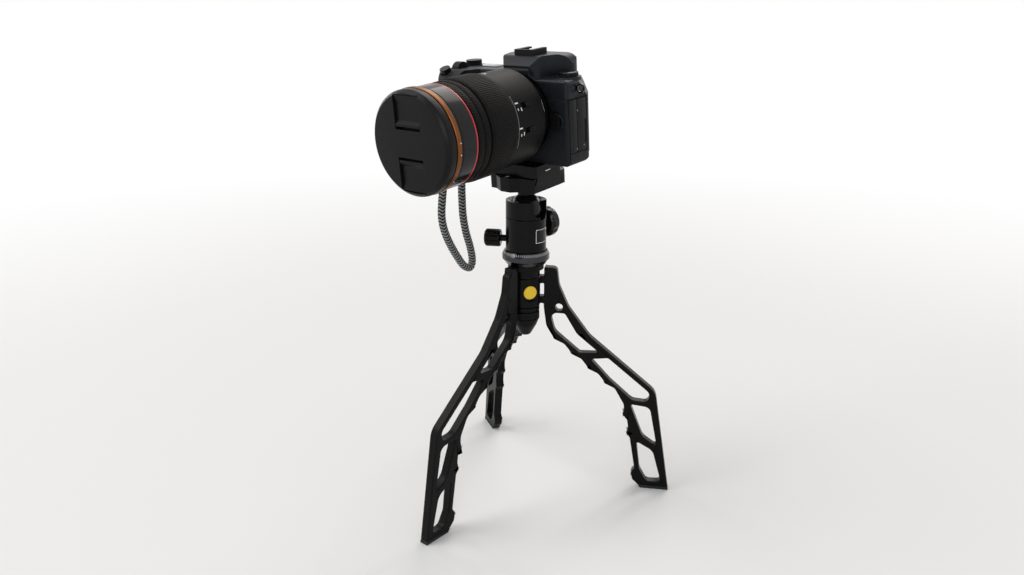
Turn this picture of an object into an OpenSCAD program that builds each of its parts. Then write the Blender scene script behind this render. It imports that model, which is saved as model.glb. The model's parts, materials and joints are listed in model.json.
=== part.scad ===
// Mirrorless camera with a standard zoom lens, on a ball head and a small three-legged table tripod.
// Millimetres. Z is up, the floor is z = 0 and the tripod's hinge axis is the Z axis.
// The lens looks towards -Y, over the fixed front leg.

/* [Tripod legs] */
// Thickness of each leg plate
leg_t = 9; // [7:0.5:11]
// Distance from the hinge axis to the inner edge of a leg's head plate
leg_in = 17; // [16:0.5:18]
// Distance from the hinge axis to the toe
leg_reach = 147; // [140:1:160]
// Height of the top of the leg plates
leg_top = 230.9; // [226:0.5:236]
// Diameter of the hole through each head plate
leg_hole_d = 7.4; // [4:0.2:9]
// Thickness of the rubber shoe under each foot
shoe_t = 3; // [2:0.5:4]
// How far the shoe stands out on each side of the plate
shoe_side = 0.9; // [0.5:0.1:1.5]
// Angle between neighbouring open legs
leg_spread = 120; // [100:1:120]

/* [Tripod hub] */
// Radius of the hub's round rings
hub_r = 13.6; // [12:0.2:14]
// Radius of the hinge pin
pin_r = 4; // [3:0.25:5]
// Distance from the axis to the flats of the hinge sleeve
sleeve_flat = 11.6; // [11:0.1:12.4]
// Length of the hinge sleeve
sleeve_len = 28.8; // [28:0.1:30]
// Depth of the hinge sleeve's upper end below the top of the legs
sleeve_drop = 8.2; // [8:0.1:9]
// Height of one thin hinge ring
ring_h = 4.5; // [4:0.1:5]
// Length of the pointed tail
tail_len = 18; // [14:1:26]
// Radius of the platform under the head
platform_r = 17.2; // [16:0.2:20]
// Thickness of the platform under the head
platform_t = 4.8; // [4:0.2:6]
// Diameter of the round badge
badge_d = 13; // [10:0.5:14]
// Height of the badge's centre above the sleeve's lower end
badge_up = 15.4; // [13:0.1:17]

/* [Ball head] */
// Radius of the ball
ball_r = 15; // [14:0.1:15.2]
// Height of the ball's centre above the foot of the housing
ball_up = 39.5; // [38:0.1:41]
// Outside radius of the head's housing
housing_r = 19.2; // [18.8:0.1:20]
// Height of the housing's rim above the ball's centre
rim_up = 8.4; // [7:0.1:9]
// Height of the panning base
base_h = 13.7; // [12:0.1:15]
// Largest radius of the panning base
base_r = 22.6; // [21.5:0.1:24]
// Radius of the stem's neck
neck_r = 7; // [6:0.1:7.6]
// Gap between the neck and each side of the drop notch
notch_gap = 2; // [1:0.1:2.2]
// Radius of the large lock knob
lock_r = 15; // [12:0.5:16]
// Thickness of the large lock knob
lock_t = 13; // [11:0.5:14]
// Depth of the lock knob's centre below the ball's centre
lock_drop = 18.5; // [18:0.5:19]
// Radius of the small panning knob
pan_r = 8.3; // [7:0.1:9]
// Length of the small panning knob
pan_len = 15.6; // [12:0.2:16]
// Depth of the panning knob's centre below the ball's centre
pan_drop = 30; // [29:0.5:31]

/* [Clamp] */
// Height of the clamp's underside above the ball's centre
clamp_z = 20.5; // [20.2:0.1:22]
// How far the clamp reaches from the stem towards the grip side
clamp_left = 28; // [24:0.5:30]
// How far the clamp reaches from the stem towards the cable-door side
clamp_right = 24; // [22:0.5:28]
// Height of the clamp's jaws over its underside
clamp_h = 13; // [12:0.5:14]
// Thickness of the release plate above the jaws
slab_t = 11; // [8:0.5:12]
// Thickness of the clamp's floor
clamp_floor = 7; // [6:0.5:8]
// Length of the release plate along the jaws
plate_len = 50; // [40:1:56]
// Width of the dovetail at its foot
dovetail_w = 38; // [36:0.5:40]
// Radius of the clamp knob
clamp_knob_r = 9; // [7:0.5:9.5]
// Length of the clamp knob
clamp_knob_len = 12.5; // [10:0.5:16]

/* [Camera body] */
// Width of the camera body
body_w = 135.8; // [134:0.2:140]
// Distance from the lens axis to the cable-door side
body_door_side = 52.8; // [52:0.2:54]
// Height of the body from its base to its shoulders
body_h = 75; // [74:0.5:77]
// Height from the base to the top of the accessory shoe
camera_h = 98.3; // [97:0.1:100]
// Height of the lens axis above the base
axis_h = 44; // [43.5:0.1:45]
// Distance from the body's front face to its rear face
body_d = 33; // [32:0.5:36]
// Height of the grip side's top deck above the other shoulder
deck_rise = 6; // [4:0.5:7]
// How far the handgrip stands in front of the body
grip_d = 26.5; // [24:0.5:28]
// Width of the handgrip
grip_w = 31; // [28:0.5:33]
// Nose-down angle of the camera on its ball
nose_down = 5.2; // [0:0.1:8]
// Thickness of the folding screen
screen_t = 5.4; // [5:0.1:6]
// Width of the folding screen
screen_w = 76; // [70:1:78]
// Height of the folding screen
screen_h = 52; // [48:1:54]

/* [Lens] */
// Distance from the stem axis forward to the lens flange
flange_y = 3.8; // [3:0.1:5]
// Radius of the lens just in front of the flange
lens_rear_r = 33.4; // [32.5:0.1:34]
// Radius of the fixed barrel
lens_r = 41.6; // [41:0.1:42]
// Radius of the zoom ring's rubber
zoom_r = 43.2; // [42.6:0.1:44]
// Distance from the flange to the zoom ring
zoom_t0 = 50; // [49:0.5:52]
// Width of the zoom ring
zoom_len = 33; // [30:0.5:34]
// Width of the focus ring
focus_len = 6.7; // [6:0.1:7]
// Width of the control ring
control_len = 7; // [6:0.1:7.2]
// Distance from the flange to the front rim
lens_len = 118.5; // [117:0.5:122]
// Radius of the filter
filter_r = 43.3; // [43:0.1:44]
// Width of the filter's turning ring
filter_ring_t = 4.6; // [4:0.1:5]
// Radius of the lens cap
cap_r = 42.8; // [42:0.1:43.2]
// Thickness of the lens cap
cap_t = 9.4; // [8.5:0.1:10]

/* [Wrist strap] */
// Width of the braided strap
strap_d = 8.4; // [7:0.2:9]

/* [Fits] */
// Gap between solids that move past each other
gap = 0.3; // [0.25:0.05:0.4]
// Radial clearance of shafts in their bores
fit = 0.05; // [0.02:0.01:0.1]

/* [Hidden] */
$fn = 96;

// Directions of the three legs about the hinge axis
front_az = -90;
right_az = front_az + leg_spread;
rear_az = front_az - leg_spread;
plate_step = leg_t + gap;
badge_az = -30;

// Heights up the hub and the head
platform_z = leg_top + gap;
head_z = platform_z + platform_t;
housing_z = head_z + base_h + gap;
ball_z = housing_z + ball_up;
rim_z = ball_z + rim_up;
sleeve_z1 = leg_top - sleeve_drop;
sleeve_z0 = sleeve_z1 - sleeve_len;
lower_ring_z = sleeve_z0 - gap - ring_h;
tail_top = lower_ring_z - gap;
fixed_ring_h = 7.6;
knee_z = 107.6;
toe_written = 147;
spigot_r = 8;
spigot_up = 8;
stud_r = 4.7;
stud_up = 8.5;
wall_bore = ball_r + gap + 0.1;
cup_drop = 22;

// Heights in the ball's own frame, measured from the ball's centre
floor_up = clamp_z + clamp_floor;
jaw_top = clamp_z + clamp_h;
base_up = jaw_top + gap + slab_t;
axis_up = base_up + axis_h;
shoulder_up = base_up + body_h;
seam_up = base_up + 59;
rod_up = clamp_z + 4;
screw_r = 2.5;
plate_half = plate_len / 2;
plate_side = 19.5;
plate_y = 5;
deck_up = shoulder_up + deck_rise;
battery_h = 54;

// Camera body faces, seen from behind the lens
x_door = body_door_side;
x_grip = body_door_side - body_w;
y_front = 2.8 - flange_y;
y_rear = y_front + body_d;
rear_t = 6;
x_grip_in = x_grip + grip_w;
y_grip = y_front - grip_d;
hump_top = base_up + camera_h - 4.8;
throat_r = 26;
door_t = 2;

// Distances along the lens from its flange
focus_t0 = zoom_t0 + zoom_len + 2;
control_t0 = focus_t0 + focus_len + gap;
barrel_end = control_t0 + control_len + 0.5;
stop_t0 = 30;
tube_t0 = stop_t0 + 10;
core_r = lens_r - 1.8;
bore_r = core_r - 3.3;
tube_r = bore_r - 3.5;
rim_bore_r = lens_r - 2.6;
ring_r = 42.4;
turn_bore = core_r + fit;
head_r = lens_r + 0.8;
filter_t0 = lens_len;
ring_t0 = filter_t0 + 1.4;
cap_t0 = ring_t0 + filter_ring_t + 1;
latch_w = 27;
latch_in = 13.5;
latch_out = 38.5;
latch_travel = 2;

// Strap route as [y, height above the ball's centre]: down the front strand and up the rear strand
strap_x = -89;
strap_route = [[-4.2, 80.5], [-6, 68.5], [-9.5, 55.5], [-14, 38.5], [-17.6, 20.5], [-21, 0.5],
    [-22.5, -17.5], [-19, -33.5], [-11, -49.5], [-1, -64.5], [8, -75.5], [17, -79.5], [21, -72.5],
    [18, -57.5], [12, -40.5], [8, -21.5], [7, 0.5], [7, 22.5], [6.8, 40.5], [6.2, 55.5], [5, 68.5],
    [4.3, 80.5]];
strap_points = [for (p = strap_route) [strap_x, p.x, ball_z + p.y]];
strap_sides = 10;

// ---- Shared shapes ----

function unit(v) = v / norm(v);

// Arc of radius r that rounds corner q, between its neighbours p and s
function arc_at(p, q, s, r, n) =
    let (a = unit(p - q), b = unit(s - q))
    let (half = acos(max(-1, min(1, a * b))) / 2)
    let (run = min(r / tan(half), 0.48 * min(norm(p - q), norm(s - q))))
    let (c = q + unit(a + b) * run / cos(half), from = q + a * run - c, to = q + b * run - c)
    let (start = atan2(from.y, from.x), turn = atan2(to.y, to.x) - start)
    let (sweep = turn > 180 ? turn - 360 : turn < -180 ? turn + 360 : turn)
    [for (i = [0:n]) c + norm(from) * [cos(start + sweep * i / n), sin(start + sweep * i / n)]];

function flat(p) = [p.x, p.y];

// Outline whose corners are given as [x, y, corner radius]
function rounded(pts, n = 4) =
    let (k = len(pts))
    [for (i = [0:k - 1])
        each pts[i].z < 0.05
            ? [flat(pts[i])]
            : arc_at(flat(pts[(i + k - 1) % k]), flat(pts[i]), flat(pts[(i + 1) % k]), pts[i].z, n)];

function box_outline(x0, x1, y0, y1, r) = [[x0, y0, r], [x1, y0, r], [x1, y1, r], [x0, y1, r]];

module ring(r_out, r_in, len) {
    difference() {
        cylinder(r = r_out, h = len);
        translate([0, 0, -1]) cylinder(r = r_in, h = len + 2);
    }
}

module block(x0, x1, y0, y1, z0, z1) {
    translate([x0, y0, z0]) cube([x1 - x0, y1 - y0, z1 - z0]);
}

// Plan outline pushed up from z0 to z1
module slab(pts, z0, z1) {
    translate([0, 0, z0]) linear_extrude(z1 - z0) polygon(rounded(pts));
}

// Front view outline (x, z) pushed back from y0 to y1
module front_cut(pts, y0, y1) {
    translate([0, y1, 0]) rotate([90, 0, 0]) linear_extrude(y1 - y0) polygon(rounded(pts));
}

// Side view outline (y, z) pushed across from x0 to x1
module side_cut(pts, x0, x1) {
    translate([x0, 0, 0]) rotate([90, 0, 90]) linear_extrude(x1 - x0) polygon(rounded(pts));
}

module on_ball() {
    translate([0, 0, ball_z]) rotate([nose_down, 0, 0]) children();
}

// Lens parts are made along +Z from the flange
module on_lens(t = 0) {
    on_ball() translate([0, -flange_y - t, axis_up]) rotate([90, 0, 0]) children();
}

module at_leg(azimuth, side = 0) {
    rotate([0, 0, azimuth]) translate([0, side * plate_step, 0]) children();
}

module leg_plate(pts, thick = leg_t) {
    rotate([90, 0, 0]) linear_extrude(thick, center = true) polygon(rounded(leg_points(pts)));
}

// ---- Tripod legs ----

// Lower points of the leg move out with its reach
function splay(p) = [p.x + (leg_reach - toe_written) * max(0, 1 - p.y / knee_z), p.y, p.z];
function leg_points(pts) = [for (p = pts) splay(p)];

// Finger bumps on the inner edge: each has a tip, a crest and a valley
bump = [[0, 0, 1.5], [10, -4.5, 6], [15, -10.8, 4]];
function bumps(first, step, count) =
    [for (k = [0:count - 1], p = bump)
        [first.x + k * step.x + p.x, first.y + k * step.y + p.y, p.z]];

leg_outline = concat(
    [[leg_in, leg_top, 1.5], [leg_in, 190, 20], [19.6, 171, 12]],
    bumps([28, 157], [17, -14.6], 3),
    [[79, 113.2, 1.5], [89, 108.6, 6], [98.6, 92, 8], [99, 86, 3], [97.8, 80.8, 1.5],
        [102.6, 75.2, 3], [103.9, 67.5, 4], [102.4, 60.2, 1.5], [106.1, 55.5, 3], [112, 21.6, 2],
        [108.6, 16.5, 3], [110.4, 8.6, 5], [116.5, shoe_t, 3],
        [toe_written - 0.5, shoe_t, 0], [129.2, knee_z, 16],
        [62.5, 162.6, 30], [41.2, 191, 30], [31.6, 213, 24], [29.4, leg_top, 4.5]]);

window_1 = [[23.2, 184.6, 5.5], [37.8, 184.4, 3.5], [50, 164, 14], [72.6, 145.4, 1.5],
    [53, 144.6, 4], [28, 165.6, 12]];
window_2 = [[64.2, 138.4, 1.5], [81.4, 140.4, 3], [124.2, 105.4, 7], [121.4, 96.4, 4.5],
    [106.5, 97.4, 10], [84, 117, 20]];
window_3 = [[105, 92.6, 1.5], [124.4, 90.6, 7], [133.1, 48.2, 1.5], [118.6, 58, 14]];
window_4 = [[112.8, 52.2, 1.5], [129.5, 43, 12], [139.2, 8.8, 3.5], [124.6, 8, 6], [117.2, 21, 10]];

module leg_blank() {
    difference() {
        leg_plate(leg_outline);
        for (w = [window_1, window_2, window_3, window_4]) leg_plate(w, 3 * leg_t);
        translate([32, leg_t, 190.6]) rotate([90, 0, 0]) cylinder(d = leg_hole_d, h = 2 * leg_t);
    }
}

// Rubber shoe under a foot, flush with the plate's faces
module shoe() {
    leg_plate([[116.5, shoe_t, 0], [119, 0, 2], [toe_written, 0, 0.6], [toe_written - 0.5, shoe_t, 0]]);
}

// Arm that joins a leg plate to its ring
module arm(z0, z1, side) {
    translate([hub_r / 2, side * plate_step - leg_t / 2, z0]) cube([leg_in - hub_r / 2 + 2, leg_t, z1 - z0]);
}

module leg_front() {
    color("#1b1b1d")
    rotate([0, 0, front_az]) difference() {
        union() {
            leg_blank();
            translate([hub_r - 1, -leg_t / 2, platform_z]) cube([14, leg_t, platform_t]);
            translate([leg_in, -leg_t / 2, leg_top - 3]) cube([10, leg_t, 5]);
            arm(tail_top - fixed_ring_h, tail_top, 0);
            translate([0, 0, tail_top - fixed_ring_h]) cylinder(r = hub_r, h = fixed_ring_h);
        }
        translate([0, 0, tail_top - fixed_ring_h - 1]) cylinder(r = pin_r + fit, h = fixed_ring_h + 2);
    }
}

module leg_right() {
    color("#1b1b1d") difference() {
        rotate([0, 0, right_az]) union() {
            translate([0, plate_step, 0]) leg_blank();
            arm(sleeve_z1 - 8.3, sleeve_z1 - 1.1, 1);
            arm(sleeve_z0, sleeve_z0 + 7.1, 1);
            hinge_sleeve();
        }
        translate([0, 0, sleeve_z0 - 1]) cylinder(r = pin_r + fit, h = sleeve_z1 - sleeve_z0 + 2);
    }
}

// Three-sided sleeve with rounded corners; one flat carries the badge
module hinge_sleeve() {
    intersection() {
        translate([0, 0, sleeve_z0]) cylinder(r = hub_r + 0.4, h = sleeve_z1 - sleeve_z0);
        union() {
            translate([0, 0, sleeve_z0]) cylinder(r = hub_r, h = 7);
            rotate([0, 0, badge_az - right_az]) linear_extrude(sleeve_z1)
                polygon([for (i = [0:2]) 2 * sleeve_flat * [cos(60 + 120 * i), sin(60 + 120 * i)]]);
        }
    }
}

module leg_rear() {
    color("#1b1b1d") difference() {
        rotate([0, 0, rear_az]) union() {
            translate([0, -plate_step, 0]) leg_blank();
            arm(sleeve_z1 + gap, leg_top, -1);
            arm(lower_ring_z, lower_ring_z + ring_h, -1);
            translate([0, 0, sleeve_z1 + gap]) cylinder(r = hub_r, h = leg_top - sleeve_z1 - gap);
            translate([0, 0, lower_ring_z]) cylinder(r = hub_r, h = ring_h);
        }
        translate([0, 0, tail_top]) cylinder(r = pin_r + fit, h = head_z - tail_top);
    }
}

module shoe_front() { color("#0d0d0d") at_leg(front_az) shoe(); }
module shoe_right() { color("#0d0d0d") at_leg(right_az, 1) shoe(); }
module shoe_rear() { color("#0d0d0d") at_leg(rear_az, -1) shoe(); }

// ---- Tripod hub ----

module tripod_platform() {
    color("#202022") difference() {
        union() {
            translate([0, 0, platform_z]) cylinder(r = platform_r, h = platform_t);
            translate([0, 0, head_z]) cylinder(r = stud_r, h = stud_up);
        }
        translate([0, 0, platform_z - 1]) cylinder(r = pin_r, h = 3);
        rotate([0, 0, front_az]) translate([hub_r - 1, -leg_t / 2, platform_z - 1])
            cube([14, leg_t, platform_t + 2]);
    }
}

module hinge_pin() {
    color("#b9bcc0") translate([0, 0, tail_top - fixed_ring_h])
        cylinder(r = pin_r, h = platform_z + 2 - tail_top + fixed_ring_h);
}

module hub_tail() {
    top = tail_top - fixed_ring_h;
    tip = top - tail_len;
    color("#1b1b1d") rotate_extrude()
        polygon(rounded([[0, tip, 0], [4.6, tip, 4], [11, tip + 0.62 * tail_len, 12], [hub_r, top, 0],
            [0, top, 0]], 6));
}

module hub_badge() {
    color("#f2c81e") rotate([0, 0, badge_az]) translate([sleeve_flat, 0, sleeve_z0 + badge_up]) rotate([0, 90, 0])
        cylinder(d = badge_d, h = 0.8);
}

// ---- Ball head ----

module head_base() {
    color("#8f9195") difference() {
        union() {
            rotate_extrude() polygon([[0, head_z], [platform_r, head_z], [platform_r + 2, head_z + 1],
                [base_r - 1, head_z + 0.34 * base_h], [base_r, head_z + 0.4 * base_h],
                [base_r, head_z + 0.74 * base_h], [base_r - 2.2, head_z + base_h],
                [0, head_z + base_h]]);
            translate([0, 0, head_z + base_h]) cylinder(r = spigot_r, h = spigot_up);
        }
        translate([0, 0, head_z - 1]) cylinder(r = stud_r, h = stud_up + 1.5);
    }
}

module head_housing() {
    color("#151517") difference() {
        translate([0, 0, housing_z]) cylinder(r = housing_r, h = rim_z - housing_z);
        translate([0, 0, housing_z - 1]) cylinder(r = spigot_r + fit, h = spigot_up + 1.5);
        translate([0, 0, ball_z - cup_drop]) cylinder(r = wall_bore, h = cup_drop);
        translate([0, 0, ball_z]) sphere(r = wall_bore);
        translate([0, 0, rim_z - 2]) cylinder(r1 = 13, r2 = housing_r - 1.2, h = 2.01);
        drop_notch();
        head_side(90, lock_drop) cylinder(r = 4 + fit, h = 40);
        head_side(210, pan_drop) translate([0, 0, 11.5]) cylinder(r = 3.2 + fit, h = 30);
        translate([0, 0, ball_z - 8.6]) ring(housing_r + 1, housing_r - 0.5, 0.6);
    }
}

// The stem drops sideways into this slot
module drop_notch() {
    half = neck_r + notch_gap;
    translate([0, 0, ball_z]) rotate([0, 90, 0]) cylinder(r = half, h = housing_r + 5);
    translate([0, -half, ball_z]) cube([housing_r + 5, 2 * half, rim_up + 5]);
}

// Side screws of the head are made along +Z, outwards from the head's axis
module head_side(azimuth, drop) {
    rotate([0, 0, azimuth]) translate([0, 0, ball_z - drop]) rotate([0, 90, 0]) children();
}

module ball_seat() {
    color("#d8d4c8") difference() {
        translate([0, 0, ball_z - cup_drop]) cylinder(r = wall_bore, h = cup_drop - 11);
        translate([0, 0, ball_z]) sphere(r = ball_r + fit);
        head_side(90, lock_drop) cylinder(r = 4 + gap, h = 40);
    }
}

module ball() {
    color("#2a2a2c") translate([0, 0, ball_z]) sphere(r = ball_r);
}

module ball_stem() {
    color("#202022") on_ball() difference() {
        union() {
            translate([0, 0, 8]) cylinder(r = neck_r, h = clamp_z - gap - 8);
            translate([0, 0, clamp_z - gap - 1.5]) cylinder(r = neck_r + 1.1, h = 1.5);
        }
        sphere(r = ball_r + gap);
    }
}

lock_at = housing_r + 5;

module lock_knob() {
    color("#161616") head_side(90, lock_drop) {
        translate([0, 0, wall_bore - 2]) cylinder(r = 4, h = 12);
        difference() {
            rotate_extrude() polygon(rounded([[0, lock_at, 0], [lock_r - 3, lock_at, 0.5],
                [lock_r, lock_at + 2.4, 1.5], [lock_r, lock_at + lock_t - 4, 3],
                [lock_r - 5, lock_at + lock_t, 4], [0, lock_at + lock_t, 0]]));
            for (i = [0:7]) rotate([0, 0, 45 * i + 22.5]) translate([lock_r + 4.6, 0, lock_at - 4])
                cylinder(r = 5.6, h = lock_t + 8);
        }
    }
}

pan_at = housing_r + 4.8;

module pan_knob() {
    color("#1a1a1a") head_side(210, pan_drop) {
        difference() {
            rotate_extrude() polygon(rounded([[0, pan_at, 0], [pan_r - 1, pan_at, 1],
                [pan_r, pan_at + 1, 0.5], [pan_r, pan_at + pan_len - 1.6, 1.5],
                [pan_r - 2, pan_at + pan_len, 1], [0, pan_at + pan_len, 0]]));
            for (i = [0:11]) rotate([0, 0, 30 * i]) translate([pan_r + 0.9, 0, pan_at + 1.8])
                cylinder(r = 1.7, h = 30);
        }
    }
    color("#c8c8c8") head_side(210, pan_drop) translate([0, 0, 12]) cylinder(r = 3.2, h = pan_at - 11);
}

// ---- Clamp and release plate ----

// Half the foot of the dovetail, and the shape of its flank
foot = dovetail_w / 2;
foot_h = 1.4;
flank_in = 2.6;

clamp_rear = plate_y + foot + 1.2;
clamp_front = plate_y - foot - 2.2;
clamp_nose = clamp_front - 6.6;
clamp_plan = [[-20, clamp_front - 0.6, 2], [-10, clamp_nose, 2], [1, clamp_nose, 3],
    [9, clamp_front - 1.2, 3], [clamp_right, clamp_front, 1.5], [clamp_right, clamp_rear, 0],
    [-clamp_left, clamp_rear, 0], [-clamp_left, clamp_front, 2]];

guide_x = 15;

module on_plate() {
    on_ball() translate([0, plate_y, 0]) children();
}

// Profile (y, z) along the dovetail, pushed across the whole clamp
module along_jaws(pts, half) {
    translate([-half, 0, 0]) rotate([90, 0, 90]) linear_extrude(2 * half) polygon(pts);
}

module jaw_bore(r, from) {
    translate([0, 45, rod_up]) rotate([90, 0, 0]) cylinder(r = r, h = 45 - from);
}

module clamp_body() {
    near = foot + gap;
    color("#1c1c1e") difference() {
        on_ball() slab(clamp_plan, clamp_z, jaw_top);
        on_plate() {
            along_jaws([[-near, floor_up], [-near, floor_up + foot_h], [flank_in - near, jaw_top],
                [flank_in - near, jaw_top + 1], [40, jaw_top + 1], [40, floor_up]], 40);
            for (x = [-guide_x, guide_x]) translate([x, 0, 0]) jaw_bore(2 + fit, 9.5);
            jaw_bore(screw_r + fit, 7.5);
        }
    }
}

module clamp_jaw() {
    near = foot + gap;
    color("#1c1c1e") difference() {
        union() {
            intersection() {
                on_plate() along_jaws([[near + 1.2, clamp_z], [40, clamp_z], [40, jaw_top],
                    [near - flank_in, jaw_top], [near, floor_up + foot_h], [near, floor_up + gap],
                    [near + 1.2, floor_up + gap]], 40);
                on_ball() slab([[-clamp_left, 10, 0], [clamp_right, 10, 0],
                    [clamp_right, clamp_rear + 4.8, 1], [12, clamp_rear + 11.8, 3],
                    [-12, clamp_rear + 11.8, 3], [-clamp_left, clamp_rear + 4.8, 1]], clamp_z, jaw_top);
            }
            on_plate() for (x = [-guide_x, guide_x]) translate([x, 24, rod_up]) rotate([90, 0, 0])
                cylinder(r = 2, h = 14);
        }
        on_plate() jaw_bore(screw_r + fit, 15);
    }
}

module clamp_knob() {
    color("#161616") on_plate() translate([0, 0, rod_up]) rotate([-90, 0, 0]) {
        translate([0, 0, 8]) cylinder(r = screw_r, h = 27);
        difference() {
            translate([0, 0, 32.4]) cylinder(r = clamp_knob_r, h = clamp_knob_len);
            for (i = [0:9]) rotate([0, 0, 36 * i]) translate([clamp_knob_r + 0.8, 0, 34])
                cylinder(r = 1.8, h = 40);
        }
    }
}

module bubble_level() {
    color("#c8d890", 0.8) on_ball() translate([-4, clamp_nose + 3.4, jaw_top]) cylinder(r = 2.6, h = 0.8);
}

module release_plate() {
    color("#232325") on_plate() difference() {
        union() {
            along_jaws([[-foot, floor_up + gap], [foot, floor_up + gap], [foot, floor_up + foot_h],
                [foot - flank_in, jaw_top], [foot - flank_in, jaw_top + 1],
                [flank_in - foot, jaw_top + 1], [flank_in - foot, jaw_top],
                [-foot, floor_up + foot_h]], plate_half);
            slab(box_outline(-plate_half, plate_half, -plate_side, plate_side, 3), jaw_top + gap, base_up);
        }
        translate([0, 0, floor_up]) cylinder(r = 8.2, h = 4);
        translate([0, 0, floor_up]) cylinder(r = 3.2, h = 40);
    }
}

module plate_screw() {
    color("#b5b7ba") on_plate() {
        difference() {
            translate([0, 0, floor_up + 1]) cylinder(r = 8, h = 3);
            block(-9, 9, -0.7, 0.7, floor_up, floor_up + 2.4);
        }
        translate([0, 0, floor_up + 4]) cylinder(r = 3.1, h = base_up + 4 - floor_up - 4);
    }
}

// ---- Camera body ----

body_plan = [[x_grip, y_front, 2], [x_door, y_front, 3.5], [x_door, y_rear, 4], [x_grip, y_rear, 5.5]];

// Front view of the body up to its shoulders
body_front = [[x_grip, base_up, 5], [x_door, base_up, 4], [x_door, shoulder_up, 4],
    [x_grip, shoulder_up, 2]];

module body_blank(z0, z1) {
    intersection() {
        slab(body_plan, z0, z1);
        front_cut(body_front, y_front - 1, y_rear + 1);
        side_cut([[y_front, base_up, 1], [y_rear - 6, base_up, 2], [y_rear, base_up + 6, 2],
            [y_rear, shoulder_up, 3], [y_front, shoulder_up, 3]], x_grip - 1, x_door + 1);
    }
}

// Slope that trims the body's upper rear corner on the cable-door side
module corner_slope() {
    translate([x_door, y_rear, shoulder_up - 19.8]) rotate([0, -23.5, 28.6])
        translate([0, -60, -60]) cube([60, 120, 120]);
}

module battery_space(spare) {
    block(x_grip + 3.4 - spare, x_grip + 24.6 + spare, y_grip + 8 - spare, y_grip + 47 + spare,
        base_up + door_t + gap, base_up + door_t + gap + battery_h + spare);
}

// Round land on the body's face that the lens sits against
module mount_collar() {
    translate([0, y_front + 0.1, axis_up]) rotate([90, 0, 0])
        cylinder(r = lens_rear_r, h = y_front + 0.1 + flange_y);
}

module body_shell() {
    color("#23252a") on_ball() difference() {
        union() {
            body_blank(base_up, seam_up);
            intersection() {
                mount_collar();
                block(-60, 60, -20, 20, 0, seam_up);
            }
        }
        translate([0, y_front + 18, axis_up]) rotate([90, 0, 0]) cylinder(r = throat_r, h = 40);
        block(-18 - gap, 18 + gap, y_front + 17, y_front + 20, axis_up - 12 - gap, axis_up + 12 + gap);
        battery_space(gap);
        battery_hatch();
        translate([0, plate_y, base_up - 1]) cylinder(r = 3.2, h = 8);
        card_space();
        lug_spaces();
        port_space();
        release_space();
        corner_slope();
    }
}

module on_battery_hinge() {
    translate([x_grip + 26.4, y_grip + 49, base_up + door_t / 2]) rotate([90, 0, 0]) children();
}

module battery_hatch() {
    block(x_grip + 2, x_grip + 28.1, y_grip + 7, y_grip + 49, base_up - 1, base_up + door_t + gap);
}

card_y0 = y_front + 18.5;
card_y1 = y_rear - 5;
card_z0 = base_up + 12;
card_z1 = base_up + 48;

module card_space() {
    block(x_grip - 1, x_grip + door_t + gap, card_y0 - gap, card_y1 + 1.6, card_z0 - gap, card_z1 + gap);
    block(x_grip, x_grip + 16, card_y0 + 2, card_y0 + 5, card_z0 + 5, card_z1 - 5);
}

module card_door() {
    color("#1d1f23") on_ball() {
        block(x_grip, x_grip + door_t, card_y0, card_y1, card_z0, card_z1);
        translate([x_grip + door_t / 2, card_y1, card_z0]) cylinder(r = door_t / 2, h = card_z1 - card_z0);
    }
}

module battery_door() {
    color("#1d1f23") on_ball() {
        block(x_grip + 2.4, x_grip + 26.4, y_grip + 7.4, y_grip + 48.6, base_up, base_up + door_t);
        translate([0, -0.4, 0]) on_battery_hinge() cylinder(r = door_t / 2, h = 41.2);
    }
}

module battery() {
    color("#3a3a3c") on_ball() battery_space(0);
}

port_y0 = y_front + 4;
port_z0 = base_up + 11;
port_z1 = seam_up - 1;

module port_space() {
    block(x_door - 2.7, x_door + 1, port_y0 - 1.6, y_rear - 5, port_z0 - gap, port_z1 + gap);
    for (z = [8, 22, 36]) block(x_door - 9, x_door, port_y0 + 9, port_y0 + 16, port_z0 + z - 4, port_z0 + z + 4);
}

module port_door() {
    color("#161618") on_ball() {
        block(x_door - 2.2, x_door - 0.2, port_y0, y_rear - 5.4, port_z0, port_z1);
        translate([x_door - 1.2, port_y0, port_z0]) cylinder(r = 1.2, h = port_z1 - port_z0);
    }
}

release_x = 41;
release_up = -4;

// Front view of the release button, straight on the lens side and rounded on the door side
function release_outline(spare) =
    [[release_x - 5 - spare, axis_up + release_up - 7.5 - spare, 1.5],
        [release_x + 4.5 + spare, axis_up + release_up - 7.5 - spare, 4],
        [release_x + 4.5 + spare, axis_up + release_up + 7.5 + spare, 5],
        [release_x - 5 - spare, axis_up + release_up + 7.5 + spare, 1.5]];

module release_space() {
    front_cut(release_outline(gap), y_front - 8, y_front + 4.5);
}

module lens_release() {
    color("#121214") on_ball() front_cut(release_outline(0), y_front - 3.2, y_front + 2);
}

module hand_grip() {
    color("#1e2024") on_ball() difference() {
        intersection() {
            slab([[x_grip, y_front, 0], [x_grip, y_grip + 14, 8], [x_grip + 8, y_grip, 10],
                [x_grip_in - 5, y_grip, 9], [x_grip_in, y_front - 9, 9], [x_grip_in + 7, y_front, 0]],
                base_up, deck_up);
            side_cut([[y_front, base_up, 0], [y_front, deck_up, 0], [y_grip + 13.5, deck_up, 5],
                [y_grip + 2, deck_up - 7.5, 5], [y_grip, deck_up - 20, 12], [y_grip, base_up, 4]],
                x_grip - 1, x_grip_in + 8);
            front_cut([[x_grip, base_up, 5], [x_grip_in + 8, base_up, 0],
                [x_grip_in + 8, deck_up, 0], [x_grip, deck_up, 4]], y_grip - 1, y_front);
        }
        battery_space(gap);
        battery_hatch();
        on_shutter() translate([0, 0, -4]) cylinder(r = 5.4, h = 20);
        dial_space();
    }
}

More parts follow.
